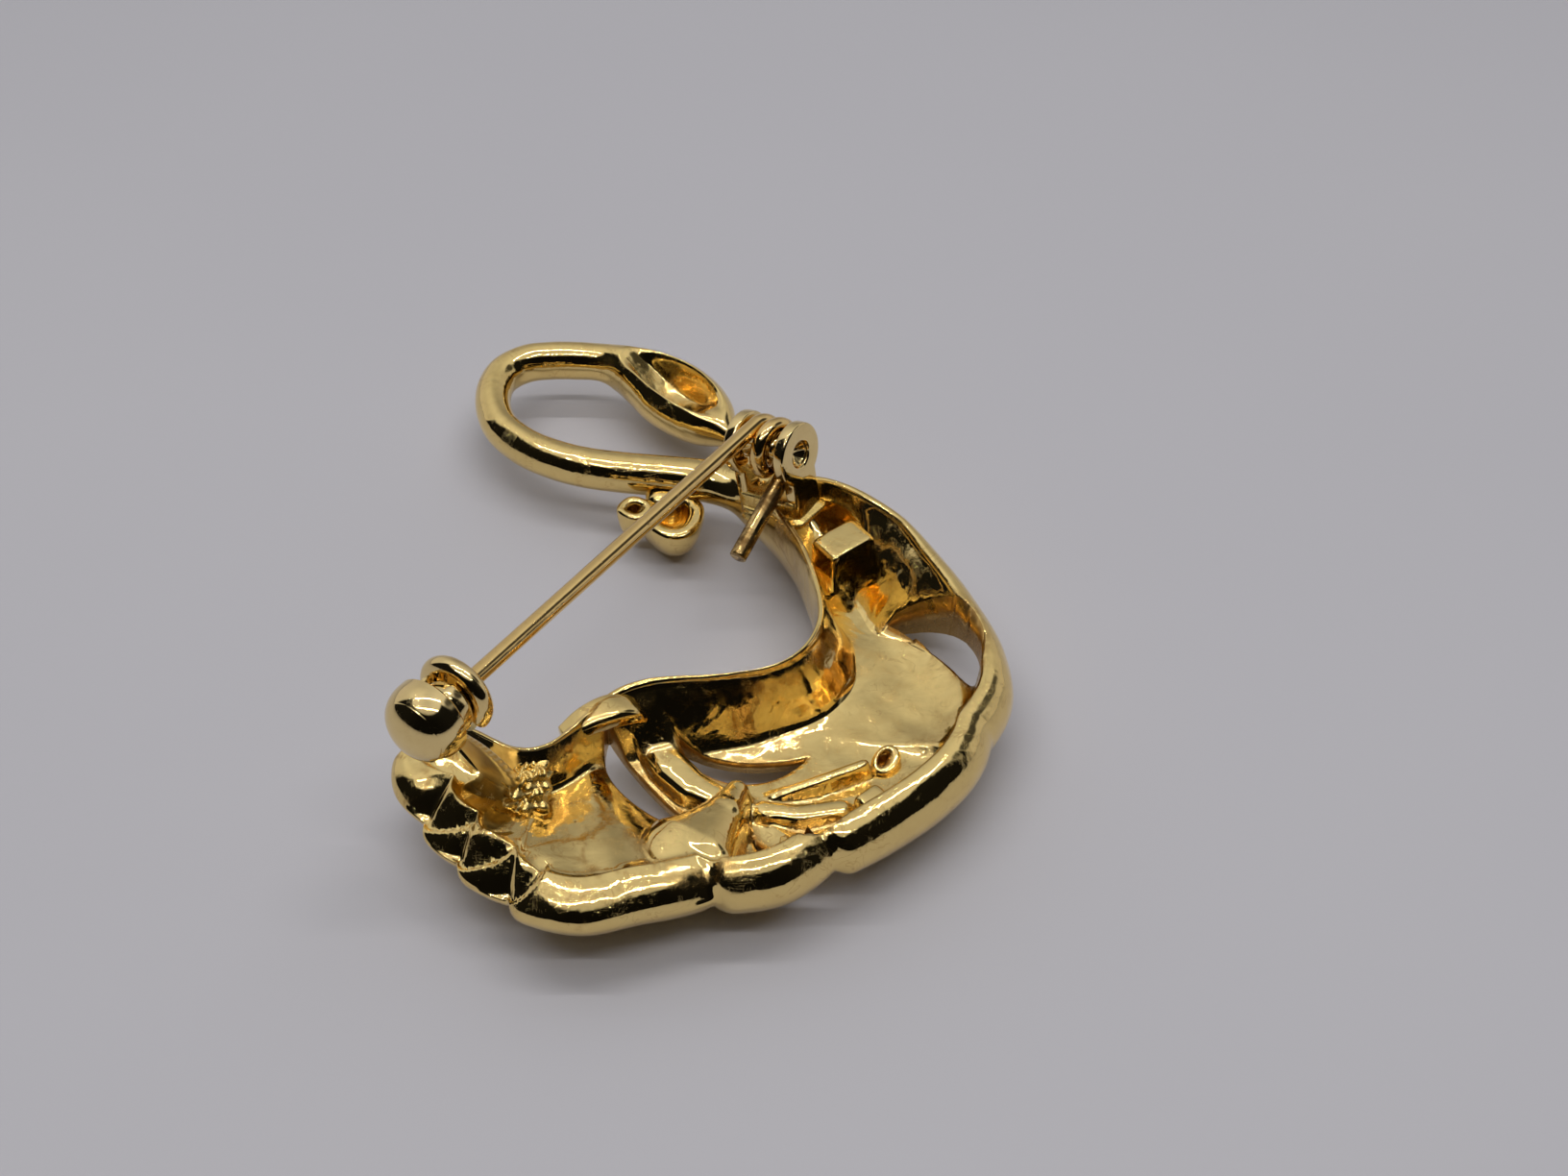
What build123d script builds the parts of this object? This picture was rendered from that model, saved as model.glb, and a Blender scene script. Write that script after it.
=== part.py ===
from build123d import *
import math
import os
import numpy as np

# Swan brooch seen as it lies: face down, back up. Millimetres, +Z up, the surface it lies on at Z = 0.
# X runs across the swan and Y along it, from the tail feathers to the top of the neck loop.

# Casting: overall sizes
swan_across = 30.0
swan_along = 41.2
rim_height = 5.6
floor_thick = 1.9
rim_width = 1.1
bay_rim_width = 0.75
rim_share = 0.22
rim_round = 0.55
wall_run = 0.45
bay_wall_run = 1.9
bay_wall_share = 0.18
front_round = 6.0
widest_at = 0.5
body_widest_at = 0.6

# Casting: neck and head
neck_width = 2.0
neck_depth = 2.3
neck_middle = 3.2
head_width = 4.4
head_depth = 3.6
head_middle = 3.1
beak_dia = 0.9

# Casting: tail feathers and what is raised on the floor
lobe_swell = 0.55
feather_length = 1.2
tail_rim_drop = 0.9
tail_floor_under_rim = 0.2
tail_floor_fall = 1.9

# Casting: ornament under the neck, its places as shares
bow_width = 3.6
bow_length = 3.5
bow_height = 3.0
bow_wall = 0.45
curl_width = 1.7
curl_bottom = 0.75
curl_top = 3.3
bridge_length = 2.2
bridge_width = 1.8
bridge_bottom = 0.9
bow_at = (0.410, 0.682)
curl_at = (0.345, 0.681)
bridge_at = (0.402, 0.713)

# Pin: one wire with two turns, and its rivet
wire_dia = 0.86
wire_dia_at_coil = 0.92
thick_length = 2.4
coil_pitch = 1.0
coil_turns = 1.44
rivet_dia = 1.3
rivet_clearance = 0.12
tail_length = 6.0
hinge_to_catch = 23.6
tip_length = 3.2
tip_dia = 0.3

# Hinge ears
ear_dia = 3.4
ear_thick = 0.7
ear_clearance = 0.06
ear_leg_width = 2.1
hinge_base_width = 2.4
hinge_base_top = 2.45
hinge_base_bottom = 3.9
rivet_fit = 0.05
rivet_inset = 0.12

# Catch: a turning part held in a fixed C collar
flange_dia = 3.9
flange_thick = 1.0
dome_dia = 3.7
dome_straight = 0.35
collar_dia = 3.1
collar_length = 0.85
shaft_dia = 2.1
catch_gap = 0.1
slot_clearance = 0.1
tip_room = 0.3
lock_angle = 150.0
arm_foot_across = 2.9
arm_foot_along = 1.8
arm_straight = 2.25
arm_width = 2.2
arm_top_across = 2.5
arm_top_along = 0.85
arm_overlap = 0.2

# Where the hinge stands, and how the pin and the rivet lie
hinge_at = Vector(17.81, 28.02, 7.5)
pin_heading = 236.3
pin_rise = 3.8
hinge_lean = 12.5
arm_foot_at = Vector(5.5, 8.65, 3.0)

# Blocks that stand on the casting's floor: the block under the hinge, the small boss and the strap's plate
BLOCKS = [
    # across, along, length, width, bottom, top, turn
    (0.718, 0.585, 2.5, 1.6, 0.6, 4.6, 38),
    (0.760, 0.194, 1.5, 1.5, 0.6, 3.2, 40),
    (0.335, 0.283, 3.2, 1.7, 2.8, 5.2, 28),
]

# How finely the casting's surfaces are divided
neck_steps = 2
body_steps = 3
back_columns = 22
front_columns = 10
cup_sides = 14

# Head, from the beak's tip to the neck: place as shares of swan_across and swan_along, width of head_width,
# depth of head_depth, and how far the back is hollowed
HEAD = [
    # across, along, width, depth, hollow
    (0.521, 0.810, 0.14, 0.20, 0.0),
    (0.508, 0.823, 0.34, 0.45, 0.0),
    (0.482, 0.847, 0.72, 0.80, 0.2),
    (0.445, 0.877, 0.96, 0.96, 0.8),
    (0.402, 0.908, 1.00, 1.00, 0.9),
    (0.355, 0.938, 0.80, 0.96, 0.5),
    (0.312, 0.959, 0.56, 0.85, 0.0),
]

# Neck loop, from the head to the chest: width of neck_width and depth of neck_depth
NECK = [
    # across, along, width, depth
    (0.265, 0.971, 1.02, 1.00),
    (0.217, 0.975, 1.00, 1.00),
    (0.170, 0.975, 1.00, 1.00),
    (0.124, 0.969, 1.00, 1.00),
    (0.086, 0.948, 1.00, 1.00),
    (0.069, 0.917, 1.00, 1.00),
    (0.070, 0.877, 1.00, 1.00),
    (0.091, 0.834, 1.00, 1.00),
    (0.135, 0.798, 1.02, 1.00),
    (0.187, 0.774, 1.05, 1.00),
    (0.250, 0.756, 1.08, 1.00),
    (0.327, 0.745, 1.10, 1.00),
    (0.413, 0.737, 1.12, 1.00),
    (0.480, 0.728, 1.16, 1.03),
    (0.533, 0.712, 1.24, 1.08),
]

# Body, from the chest round the belly to the tail: its outer and inner edges as shares of swan_across and
# swan_along, its back and front as shares of rim_height, how far it is hollowed, and how bar-like it is
BODY = [
    # outer across, outer along, inner across, inner along, back, front, hollow, bar
    (0.587, 0.730, 0.553, 0.661, 0.90, 0.18, 0.00, 0.80),
    (0.640, 0.706, 0.597, 0.615, 0.95, 0.12, 0.30, 0.40),
    (0.703, 0.688, 0.632, 0.561, 0.98, 0.06, 0.85, 0.10),
    (0.768, 0.658, 0.654, 0.505, 1.00, 0.02, 1.00, 0.00),
    (0.836, 0.610, 0.667, 0.457, 1.00, 0.00, 1.00, 0.00),
    (0.900, 0.541, 0.663, 0.419, 1.00, 0.00, 1.00, 0.00),
    (0.952, 0.467, 0.643, 0.385, 1.00, 0.00, 1.00, 0.00),
    (0.986, 0.399, 0.610, 0.360, 1.00, 0.00, 1.00, 0.00),
    (0.990, 0.328, 0.567, 0.346, 1.00, 0.00, 1.00, 0.00),
    (0.940, 0.258, 0.520, 0.341, 1.00, 0.00, 1.00, 0.00),
    (0.866, 0.189, 0.477, 0.339, 1.00, 0.00, 1.00, 0.00),
    (0.778, 0.136, 0.433, 0.339, 1.00, 0.00, 1.00, 0.00),
    (0.690, 0.095, 0.390, 0.336, 1.00, 0.00, 1.00, 0.00),
    (0.600, 0.063, 0.350, 0.326, 1.00, 0.00, 1.00, 0.00),
    (0.507, 0.051, 0.320, 0.309, 1.00, 0.03, 1.00, 0.00),
    (0.410, 0.038, 0.297, 0.288, 1.00, 0.09, 1.00, 0.00),
    (0.313, 0.018, 0.277, 0.266, 1.00, 0.16, 1.00, 0.00),
    (0.230, 0.033, 0.253, 0.246, 1.00, 0.23, 1.00, 0.00),
    (0.160, 0.069, 0.227, 0.236, 1.00, 0.30, 1.00, 0.00),
    (0.103, 0.106, 0.197, 0.236, 1.00, 0.36, 1.00, 0.00),
    (0.057, 0.152, 0.167, 0.246, 1.00, 0.41, 1.00, 0.00),
    (0.020, 0.196, 0.137, 0.261, 0.98, 0.46, 0.90, 0.10),
    (0.013, 0.234, 0.100, 0.273, 0.95, 0.52, 0.50, 0.30),
    (0.035, 0.259, 0.073, 0.273, 0.86, 0.60, 0.00, 0.80),
]

# Rows of BODY at which the outline is notched between two feathers
NOTCHES = [8.8, 11.9, 13.9, 17.4, 18.7, 19.9, 22.6]

# Rows of BODY between which the floor rises into the tail, and from which the outer rim gets lower
TAIL_ROWS = (12, 15.5)
LOW_RIM_ROWS = (8, 16)

# Shares of the body's width, from the outer edge, over which the low rim comes up again and the tail's floor falls
RIM_DROP_SHARES = (0.15, 0.75)
TAIL_FALL_SHARES = (0.05, 0.62)

# Raised lines on the floor: from and to as shares, half width in shares of rim_width, and the height of the
# line's top at each end as a share of rim_height
RAISED = [
    # from across, from along, to across, to along, half width, top from, top to
    (0.378, 0.300, 0.422, 0.261, 0.95, 0.54, 0.52),
    (0.422, 0.261, 0.454, 0.226, 0.95, 0.52, 0.52),
    (0.454, 0.226, 0.500, 0.200, 0.95, 0.52, 0.48),
    (0.580, 0.190, 0.647, 0.184, 0.90, 0.45, 0.48),
    (0.647, 0.184, 0.716, 0.198, 0.90, 0.48, 0.46),
    (0.654, 0.242, 0.755, 0.264, 0.70, 0.43, 0.42),
    (0.547, 0.225, 0.537, 0.190, 1.10, 0.52, 0.61),
    (0.537, 0.190, 0.537, 0.125, 1.40, 0.61, 0.77),
    (0.525, 0.200, 0.475, 0.130, 1.90, 0.48, 0.70),
]

# Crescents cut through the floor, as two arcs between the same two tips, in shares
OPENINGS = [
    # tip across, tip along, far across, far along, tip across, tip along, near across, near along
    (0.797, 0.490, 0.905, 0.469, 0.932, 0.356, 0.874, 0.441),
    (0.430, 0.286, 0.546, 0.270, 0.661, 0.272, 0.545, 0.236),
    (0.333, 0.294, 0.397, 0.245, 0.470, 0.189, 0.357, 0.216),
    (0.563, 0.168, 0.645, 0.131, 0.727, 0.168, 0.647, 0.112),
]


# Shares of the rim's width and of the wall's run at which a section has a column
RIM_STOPS = [0, 0.18, 0.5, 0.82, 1.0]
WALL_STOPS = [0.5, 1.0]

# Half-round cup, from the middle of its outside over its edge to the middle of its hollow: share of its radius,
# share of its height, and how many walls further in
CUP = [
    # radius, height, walls in
    (0.25, 0.00, 0.0),
    (0.70, 0.12, 0.0),
    (0.95, 0.45, 0.0),
    (1.00, 0.80, 0.0),
    (0.97, 1.00, 0.0),
    (0.90, 1.00, 1.0),
    (0.80, 0.72, 1.0),
    (0.35, 0.50, 0.0),
]


def smooth_rows(rows, steps):
    """Rows between the given ones, on a smooth curve that passes through every given row."""
    rows = np.asarray(rows, float)
    before = np.vstack([2 * rows[:1] - rows[1:2], rows[:-1]])
    after = np.vstack([rows[1:], 2 * rows[-1:] - rows[-2:-1]])
    slope = (after - before) / 2
    found = []
    for i in range(len(rows) - 1):
        for u in np.arange(steps[i]) / steps[i]:
            found.append((2 * u**3 - 3 * u**2 + 1) * rows[i] + (u**3 - 2 * u**2 + u) * slope[i]
                         + (3 * u**2 - 2 * u**3) * rows[i + 1] + (u**3 - u**2) * slope[i + 1])
    found.append(rows[-1])
    return np.array(found)


def bar_rows(table, width, depth, middle, hollow):
    """Edges, back, front, hollow and bar-likeness of a bar given by its middle line."""
    table = np.asarray(table, float)
    line = table[:, :2] * (swan_across, swan_along)
    along = np.gradient(line, axis=0)
    side = np.c_[-along[:, 1], along[:, 0]] / np.linalg.norm(along, axis=1)[:, None]
    half = table[:, 2:3] * width / 2
    reach = table[:, 3] * depth / 2
    return np.c_[line + side * half, line - side * half, middle + reach, middle - reach, hollow,
                 np.ones(len(table))]


def feather_swell(row):
    """How far the outer edge stands out at a row of BODY: a round lobe between each two notches."""
    swell = np.zeros_like(row)
    for first, last in zip(NOTCHES[:-1], NOTCHES[1:]):
        share = (row - first) / (last - first)
        inside = (share > 0) & (share < 1)
        lobe = np.sqrt(np.clip(1 - (2 * share - 1) ** 4, 0, 1))
        swell = np.where(inside, lobe_swell * min(1, (last - first) / feather_length) * lobe, swell)
    return swell


def swan_sections():
    """Every cross-section of the casting, from the beak's tip round the neck and the body to the tail."""
    head = bar_rows(HEAD, head_width, head_depth, head_middle, np.array(HEAD)[:, 4])
    neck = bar_rows(NECK, neck_width, neck_depth, neck_middle, np.zeros(len(NECK)))
    body = np.array(BODY) * (swan_across, swan_along, swan_across, swan_along, rim_height, rim_height, 1, 1)
    rows = np.vstack([head, neck, body])
    first_body = len(head) + len(neck)
    rows = np.c_[rows, np.arange(len(rows)) - first_body]
    steps = [neck_steps] * first_body + [body_steps] * (len(body) - 1)
    rows = smooth_rows(rows, steps)
    across = rows[:, 0:2] - rows[:, 2:4]
    across /= np.linalg.norm(across, axis=1)[:, None]
    rows[:, 0:2] += across * feather_swell(rows[:, 8])[:, None]
    return rows


def smooth(low, high, value):
    """0 below low, 1 above high and an S-curve between them."""
    share = np.clip((value - low) / (high - low), 0, 1)
    return share * share * (3 - 2 * share)


def with_raised_lines(xy, floor):
    """The floor's height with the raised lines: each is rounded across, and the highest counts."""
    rise = np.zeros(len(xy))
    for ax, ay, bx, by, half, top_a, top_b in RAISED:
        start = np.array([ax * swan_across, ay * swan_along])
        run = np.array([bx * swan_across, by * swan_along]) - start
        share = np.clip((xy - start) @ run / (run @ run), 0, 1)
        away = np.linalg.norm(xy - start - share[:, None] * run, axis=1) / (half * rim_width)
        top = rim_height * (top_a + (top_b - top_a) * share)
        rise = np.maximum(rise, np.clip(top - floor, 0, None) * np.clip(1 - away**2, 0, 1))
    return floor + rise


def round_shoulder(edge, radius):
    """0 at the edge, rising on a quarter circle to 1 at the radius and beyond."""
    return np.sqrt(np.clip(1 - np.clip(1 - edge / radius, 0, 1) ** 2, 0, 1))


def rim_columns(rim, run):
    """Distances from an edge at which a section has its columns: over the rim, then down its wall."""
    return np.r_[rim * np.array(RIM_STOPS), rim + run * np.array(WALL_STOPS)]


def section_ring(row):
    """One closed ring of points: the back from the outer to the inner edge, then the front the other way."""
    outer, inner = row[0:2], row[2:4]
    back, front, hollow, bar = row[4], row[5], np.clip(row[6], 0, 1), np.clip(row[7], 0, 1)
    width = np.linalg.norm(outer - inner)
    middle = front + (back - front) * (body_widest_at + (widest_at - body_widest_at) * bar)
    rims = np.minimum([rim_width, bay_rim_width], rim_share * width)
    turn = (1 - np.cos(np.linspace(0, math.pi, back_columns + 1))) / 2
    runs = wall_run, min(bay_wall_run, bay_wall_share * width)
    outer_side, bay_side = [rim_columns(rim, run) for rim, run in zip(rims, runs)]
    floor = np.linspace(outer_side[-1], width - bay_side[-1], back_columns + 3 - 2 * len(outer_side))[1:-1]
    body_places = np.r_[outer_side, floor, width - bay_side[::-1]] / width
    share = turn * bar + body_places * (1 - bar)
    turn = (1 - np.cos(np.linspace(math.pi, 0, front_columns + 1))) / 2
    share = np.r_[share, turn[1:-1]]
    is_back = np.arange(len(share)) <= back_columns
    edge = np.minimum(share, 1 - share) * width
    rim = np.where(share < 0.5, rims[0], rims[1])
    run = np.where(share < 0.5, runs[0], runs[1])
    drop = tail_rim_drop * smooth(*LOW_RIM_ROWS, row[8]) * hollow
    crest = back - drop * (1 - smooth(*RIM_DROP_SHARES, share))
    top_radius = rim_round * (1 - bar) + width / 2 * bar
    low_radius = min(front_round, width / 2) * (1 - bar) + width / 2 * bar
    top = middle + (crest - middle) * round_shoulder(edge, min(top_radius, width / 2))
    low = middle - (middle - front) * round_shoulder(edge, low_radius)
    xy = outer + (inner - outer) * share[:, None]
    depth = smooth(0, run, edge - rim)
    tail_floor = back - drop - tail_floor_under_rim - tail_floor_fall * smooth(*TAIL_FALL_SHARES, share)
    floor = np.maximum(low + floor_thick, tail_floor * smooth(*TAIL_ROWS, row[8]))
    floor = np.minimum(with_raised_lines(xy, floor), top)
    hollowed = top - hollow * depth * (top - floor)
    return np.c_[xy, np.where(is_back, hollowed, low)]


def closed_solid(points, triangles):
    """A solid whose flat faces are the given triangles."""
    corners = [Vector(*p) for p in points]
    faces = [Face(Wire.make_polygon([corners[a], corners[b], corners[c]])) for a, b, c in triangles]
    shell = Shell(faces)
    solid = Solid(shell)
    return solid if solid.volume > 0 else Solid(Shell([-f for f in faces]))


def ring_solid(rings):
    """A solid through closed rings of equal count, each joined to the next, with a fan at each end."""
    rings = np.asarray(rings)
    count, around = rings.shape[:2]
    points = np.vstack([rings.reshape(-1, 3), rings[0].mean(axis=0), rings[-1].mean(axis=0)])
    triangles = []
    for i in range(count - 1):
        for j in range(around):
            k = (j + 1) % around
            a, b, c, d = i * around + j, i * around + k, (i + 1) * around + k, (i + 1) * around + j
            if (i + j) % 2:
                triangles += [(a, b, c), (a, c, d)]
            else:
                triangles += [(a, b, d), (b, c, d)]
    for j in range(around):
        k = (j + 1) % around
        triangles.append((j, len(points) - 2, k))
        last = (count - 1) * around
        triangles.append((last + j, last + k, len(points) - 1))
    return closed_solid(points, triangles)


def place(across, along, height=0.0):
    """A point from shares of the swan's two sizes."""
    return Vector(across * swan_across, along * swan_along, height)


def make_openings():
    """The prisms of the crescents that are cut through the floor."""
    cutters = []
    for ax, ay, fx, fy, bx, by, nx, ny in OPENINGS:
        far = ThreePointArc(place(ax, ay), place(fx, fy), place(bx, by))
        near = ThreePointArc(place(bx, by), place(nx, ny), place(ax, ay))
        outline = Pos(0, 0, -1) * Face(Wire([far, near]))
        cutters.append(extrude(outline, amount=rim_height, dir=(0, 0, 1)))
    return cutters


def make_blocks():
    """The flat-topped blocks on the floor."""
    parts = []
    for across, along, length, width, bottom, top, turn in BLOCKS:
        block = Box(length, width, top - bottom, align=(Align.CENTER, Align.CENTER, Align.MIN))
        parts.append(Pos(place(across, along, bottom)) * Rot(0, 0, turn) * block)
    return parts


def cup(centre, across, along, bottom, top, wall):
    """A small round cup, open at the back: its outside and its hollow are both half-round."""
    turns = np.linspace(0, 2 * math.pi, cup_sides + 1)[:-1]
    rows = []
    for share, height, inset in CUP:
        radius_x = share * across / 2 - inset * wall
        radius_y = share * along / 2 - inset * wall
        z = bottom + height * (top - bottom)
        rows.append(np.c_[centre.X + radius_x * np.cos(turns), centre.Y + radius_y * np.sin(turns),
                          np.full(len(turns), z)])
    return ring_solid(rows)


def make_beak():
    """The beak's end, which meets the neck behind the hinge."""
    start, end = place(0.508, 0.823, head_middle), place(0.540, 0.745, neck_middle)
    line = end - start
    on_start = (Align.CENTER, Align.CENTER, Align.MIN)
    return Plane(origin=start, z_dir=line).location * Cylinder(beak_dia / 2, line.length, align=on_start)


def make_bow():
    """The ornament in front of the neck: a hollow lobe, a smaller curl beside it and the bridge to the neck."""
    lobe = cup(place(*bow_at), bow_width, bow_length, 0.0, bow_height, bow_wall)
    curl = cup(place(*curl_at), curl_width, curl_width, curl_bottom, curl_top, bow_wall)
    bridge = Box(bridge_length, bridge_width, neck_middle - bridge_bottom,
                 align=(Align.CENTER, Align.CENTER, Align.MIN))
    return [lobe, curl, Pos(place(*bridge_at, bridge_bottom)) * bridge]


# Directions of the pin and the rivet, and the frames of the hinge and the catch
pin_along = Vector(math.cos(math.radians(pin_heading)) * math.cos(math.radians(pin_rise)),
                   math.sin(math.radians(pin_heading)) * math.cos(math.radians(pin_rise)),
                   math.sin(math.radians(pin_rise)))
level_across = Vector(0, 0, 1).cross(pin_along).normalized()
rivet_along = level_across.rotate(Axis((0, 0, 0), pin_along), hinge_lean)
hinge_up = pin_along.cross(rivet_along)
coil_radius = rivet_dia / 2 + rivet_clearance + wire_dia_at_coil / 2
coil_travel = coil_pitch * coil_turns
ear_gap = coil_travel + wire_dia_at_coil + 2 * ear_clearance
hinge = Plane(origin=hinge_at, x_dir=rivet_along, z_dir=hinge_up)
stem_start = hinge_at + hinge_up * coil_radius - rivet_along * (coil_travel / 2)
catch_at = stem_start + pin_along * hinge_to_catch
catch = Plane(origin=catch_at, x_dir=rivet_along, z_dir=pin_along)


def across_axis(radius, length, middle, frame=hinge):
    """A cylinder along the rivet, at a distance from the hinge's middle."""
    return frame.location * Pos(middle, 0, 0) * Rot(0, 90, 0) * Cylinder(radius, length)


def make_hinge():
    """Two round ears on a base."""
    parts = []
    hole = rivet_dia / 2 + rivet_fit
    depth = hinge_base_bottom - hinge_base_top
    width = ear_gap + 2 * ear_thick
    base = Box(width, hinge_base_width, depth, align=(Align.CENTER, Align.CENTER, Align.MIN))
    parts.append(hinge.location * Pos(0, 0, -hinge_base_bottom) * base)
    for side in (-1, 1):
        middle = side * (ear_gap + ear_thick) / 2
        leg = Box(ear_thick, ear_leg_width, hinge_base_bottom, align=(Align.CENTER, Align.CENTER, Align.MAX))
        ear = across_axis(ear_dia / 2, ear_thick, middle) + hinge.location * Pos(middle, 0, 0) * leg
        parts.append(ear - across_axis(hole, ear_thick * 2, middle))
    return parts


def make_rivet():
    """The rivet through both ears, a little short of their outer faces."""
    return across_axis(rivet_dia / 2, ear_gap + 2 * (ear_thick - rivet_inset), 0)


def make_pin():
    """The wire: tapered tip, stem, two turns round the rivet, and the cut tail."""
    radius = wire_dia / 2
    coil_wire = wire_dia_at_coil / 2
    stem_length = hinge_to_catch - radius
    frame = Plane(origin=stem_start, x_dir=rivet_along, z_dir=pin_along)
    on_start = (Align.CENTER, Align.CENTER, Align.MIN)
    thick = frame.location * Cone(coil_wire, radius, thick_length, align=on_start)
    stem = frame.location * Pos(0, 0, thick_length) * Cylinder(radius, stem_length - thick_length, align=on_start)
    tip = frame.location * Pos(0, 0, stem_length) * Cone(radius, tip_dia / 2, tip_length + radius, align=on_start)
    end_turn = 360 * coil_turns
    path = Helix(coil_pitch, coil_travel, coil_radius)
    start_plane = Plane(origin=path @ 0, z_dir=path % 0)
    coil = sweep(start_plane * Circle(coil_wire), path=path)
    # The helix starts on local X and climbs local Z: it is laid so that it starts on top of the rivet
    coil_frame = Plane(origin=hinge_at - rivet_along * (coil_travel / 2), x_dir=hinge_up, z_dir=rivet_along)
    coil = coil_frame.location * coil
    turned = math.radians(end_turn)
    spoke = hinge_up * math.cos(turned) + pin_along * -math.sin(turned)
    ahead = hinge_up * -math.sin(turned) + pin_along * -math.cos(turned)
    tail_start = hinge_at + rivet_along * (coil_travel / 2) + spoke * coil_radius
    tail_frame = Plane(origin=tail_start, x_dir=rivet_along, z_dir=ahead)
    tail = tail_frame.location * Cylinder(coil_wire, tail_length, align=on_start)
    bends = [Pos(stem_start) * Sphere(coil_wire), Pos(tail_start) * Sphere(coil_wire)]
    return coil.fuse(thick, stem, tip, tail, *bends)


def slot(width, depth, start, length, turn):
    """A slot from the pin's axis outwards, with a round bottom, turned about the axis from straight up."""
    away = Box(width, depth, length, align=(Align.CENTER, Align.MIN, Align.MIN))
    round_bottom = Cylinder(width / 2, length, align=(Align.CENTER, Align.CENTER, Align.MIN))
    return catch.location * Rot(0, 0, turn) * Pos(0, 0, start) * (away + round_bottom)


def make_rotor():
    """The turning part: a slotted flange, a thin shaft in the collar and a domed end."""
    edge = flange_thick / 2
    shaft_end = flange_thick + collar_length + 2 * catch_gap
    dome_end = shaft_end + dome_straight + dome_dia / 2
    profile = Polyline((0, 0), (flange_dia / 2 - edge, 0))
    rounding = ThreePointArc((flange_dia / 2 - edge, 0), (flange_dia / 2, edge), (flange_dia / 2 - edge, flange_thick))
    shaft = Polyline((flange_dia / 2 - edge, flange_thick), (shaft_dia / 2, flange_thick), (shaft_dia / 2, shaft_end),
                     (dome_dia / 2, shaft_end), (dome_dia / 2, shaft_end + dome_straight))
    half_way = dome_dia / 2 * math.sqrt(0.5)
    dome = ThreePointArc((dome_dia / 2, shaft_end + dome_straight),
                         (half_way, shaft_end + dome_straight + half_way), (0, dome_end))
    outline = Wire([profile.edge(), rounding, *shaft.edges(), dome, Line((0, dome_end), (0, 0))])
    turned = revolve(Rot(90, 0, 0) * Face(outline), axis=Axis.Z)
    width = wire_dia + 2 * slot_clearance
    return catch.location * turned - slot(width, flange_dia, -catch_gap, catch_gap + tip_length + tip_room, -lock_angle)


def make_collar():
    """The fixed C collar, open straight up, and the arm that carries it."""
    start = flange_thick + catch_gap
    bore = shaft_dia / 2 + catch_gap / 2
    ring = Cylinder(collar_dia / 2, collar_length, align=(Align.CENTER, Align.CENTER, Align.MIN))
    straight = Box(arm_width, arm_straight, collar_length, align=(Align.CENTER, Align.MAX, Align.MIN))
    ring = catch.location * Pos(0, 0, start) * (ring + straight)
    ring = ring - catch.location * Cylinder(bore, hinge_to_catch)
    ring = ring - slot(wire_dia + 2 * slot_clearance, flange_dia, 0, hinge_to_catch / 2, 0)
    top_at = catch_at + pin_along * (start + collar_length / 2) - hinge_up * (arm_straight - arm_overlap)
    top = Plane(origin=top_at, x_dir=rivet_along, z_dir=hinge_up) * Ellipse(arm_top_across / 2, arm_top_along / 2)
    foot = Plane(origin=arm_foot_at, x_dir=(1, 0, 0), z_dir=(0, 0, 1)) * Ellipse(arm_foot_across / 2, arm_foot_along / 2)
    return [ring, loft([foot, top])]


def make_casting():
    """The swan with everything that is cast with it or soldered to it."""
    swan = ring_solid([section_ring(row) for row in swan_sections()])
    swan = swan.cut(*make_openings())
    return swan.fuse(*make_blocks(), make_beak(), *make_bow(), *make_hinge(), *make_collar())


def main():
    os.makedirs("parts", exist_ok=True)
    nodes = {
        "swan_casting": make_casting(),
        "hinge_rivet": make_rivet(),
        "pin_stem": make_pin(),
        "catch_rotor": make_rotor(),
    }
    boxes = [shape.bounding_box() for shape in nodes.values()]
    low = [min(getattr(box.min, a) for box in boxes) for a in "XYZ"]
    high = [max(getattr(box.max, a) for box in boxes) for a in "XYZ"]
    to_origin = Pos(-(low[0] + high[0]) / 2, -(low[1] + high[1]) / 2, -low[2])
    for name, shape in nodes.items():
        export_step(to_origin * shape, f"parts/{name}.step")


main()
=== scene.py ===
import bpy
import math
import numpy as np
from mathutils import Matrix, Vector


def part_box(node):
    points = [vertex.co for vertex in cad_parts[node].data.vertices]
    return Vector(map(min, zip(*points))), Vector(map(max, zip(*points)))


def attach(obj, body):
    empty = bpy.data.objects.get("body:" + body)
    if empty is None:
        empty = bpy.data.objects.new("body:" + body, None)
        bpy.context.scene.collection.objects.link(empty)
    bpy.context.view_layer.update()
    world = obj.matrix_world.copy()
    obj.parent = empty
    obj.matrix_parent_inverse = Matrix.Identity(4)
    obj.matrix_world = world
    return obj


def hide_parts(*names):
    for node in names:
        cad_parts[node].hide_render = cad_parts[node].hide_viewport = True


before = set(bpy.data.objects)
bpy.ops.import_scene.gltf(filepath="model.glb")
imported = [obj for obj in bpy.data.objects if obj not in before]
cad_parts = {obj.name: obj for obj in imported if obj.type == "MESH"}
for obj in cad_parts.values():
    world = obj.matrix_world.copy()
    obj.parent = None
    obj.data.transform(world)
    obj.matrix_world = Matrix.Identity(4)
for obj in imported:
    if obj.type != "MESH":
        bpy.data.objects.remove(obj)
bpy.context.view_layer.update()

# Swan: one casting of brass, polished and gold plated. Its body is an open-backed shell with a rolled rim,
# the neck is a solid bar bent into a loop and the head is hollow behind. It lies on its convex front.
# Points are in millimetres from one corner of the swan's outline, and moved to the frame last.
swan_size = np.array([30.0, 41.2])
hinge_at = np.array([17.81, 28.02, 7.5])
hinge_low, hinge_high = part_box("hinge_rivet")
to_frame = np.array((hinge_low + hinge_high) / 2) * 1000 - hinge_at
rim_height = 5.6
floor_thick = 1.9
front_round = 6.0
neck_width, neck_depth, neck_middle = 2.0, 2.3, 3.2
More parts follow.
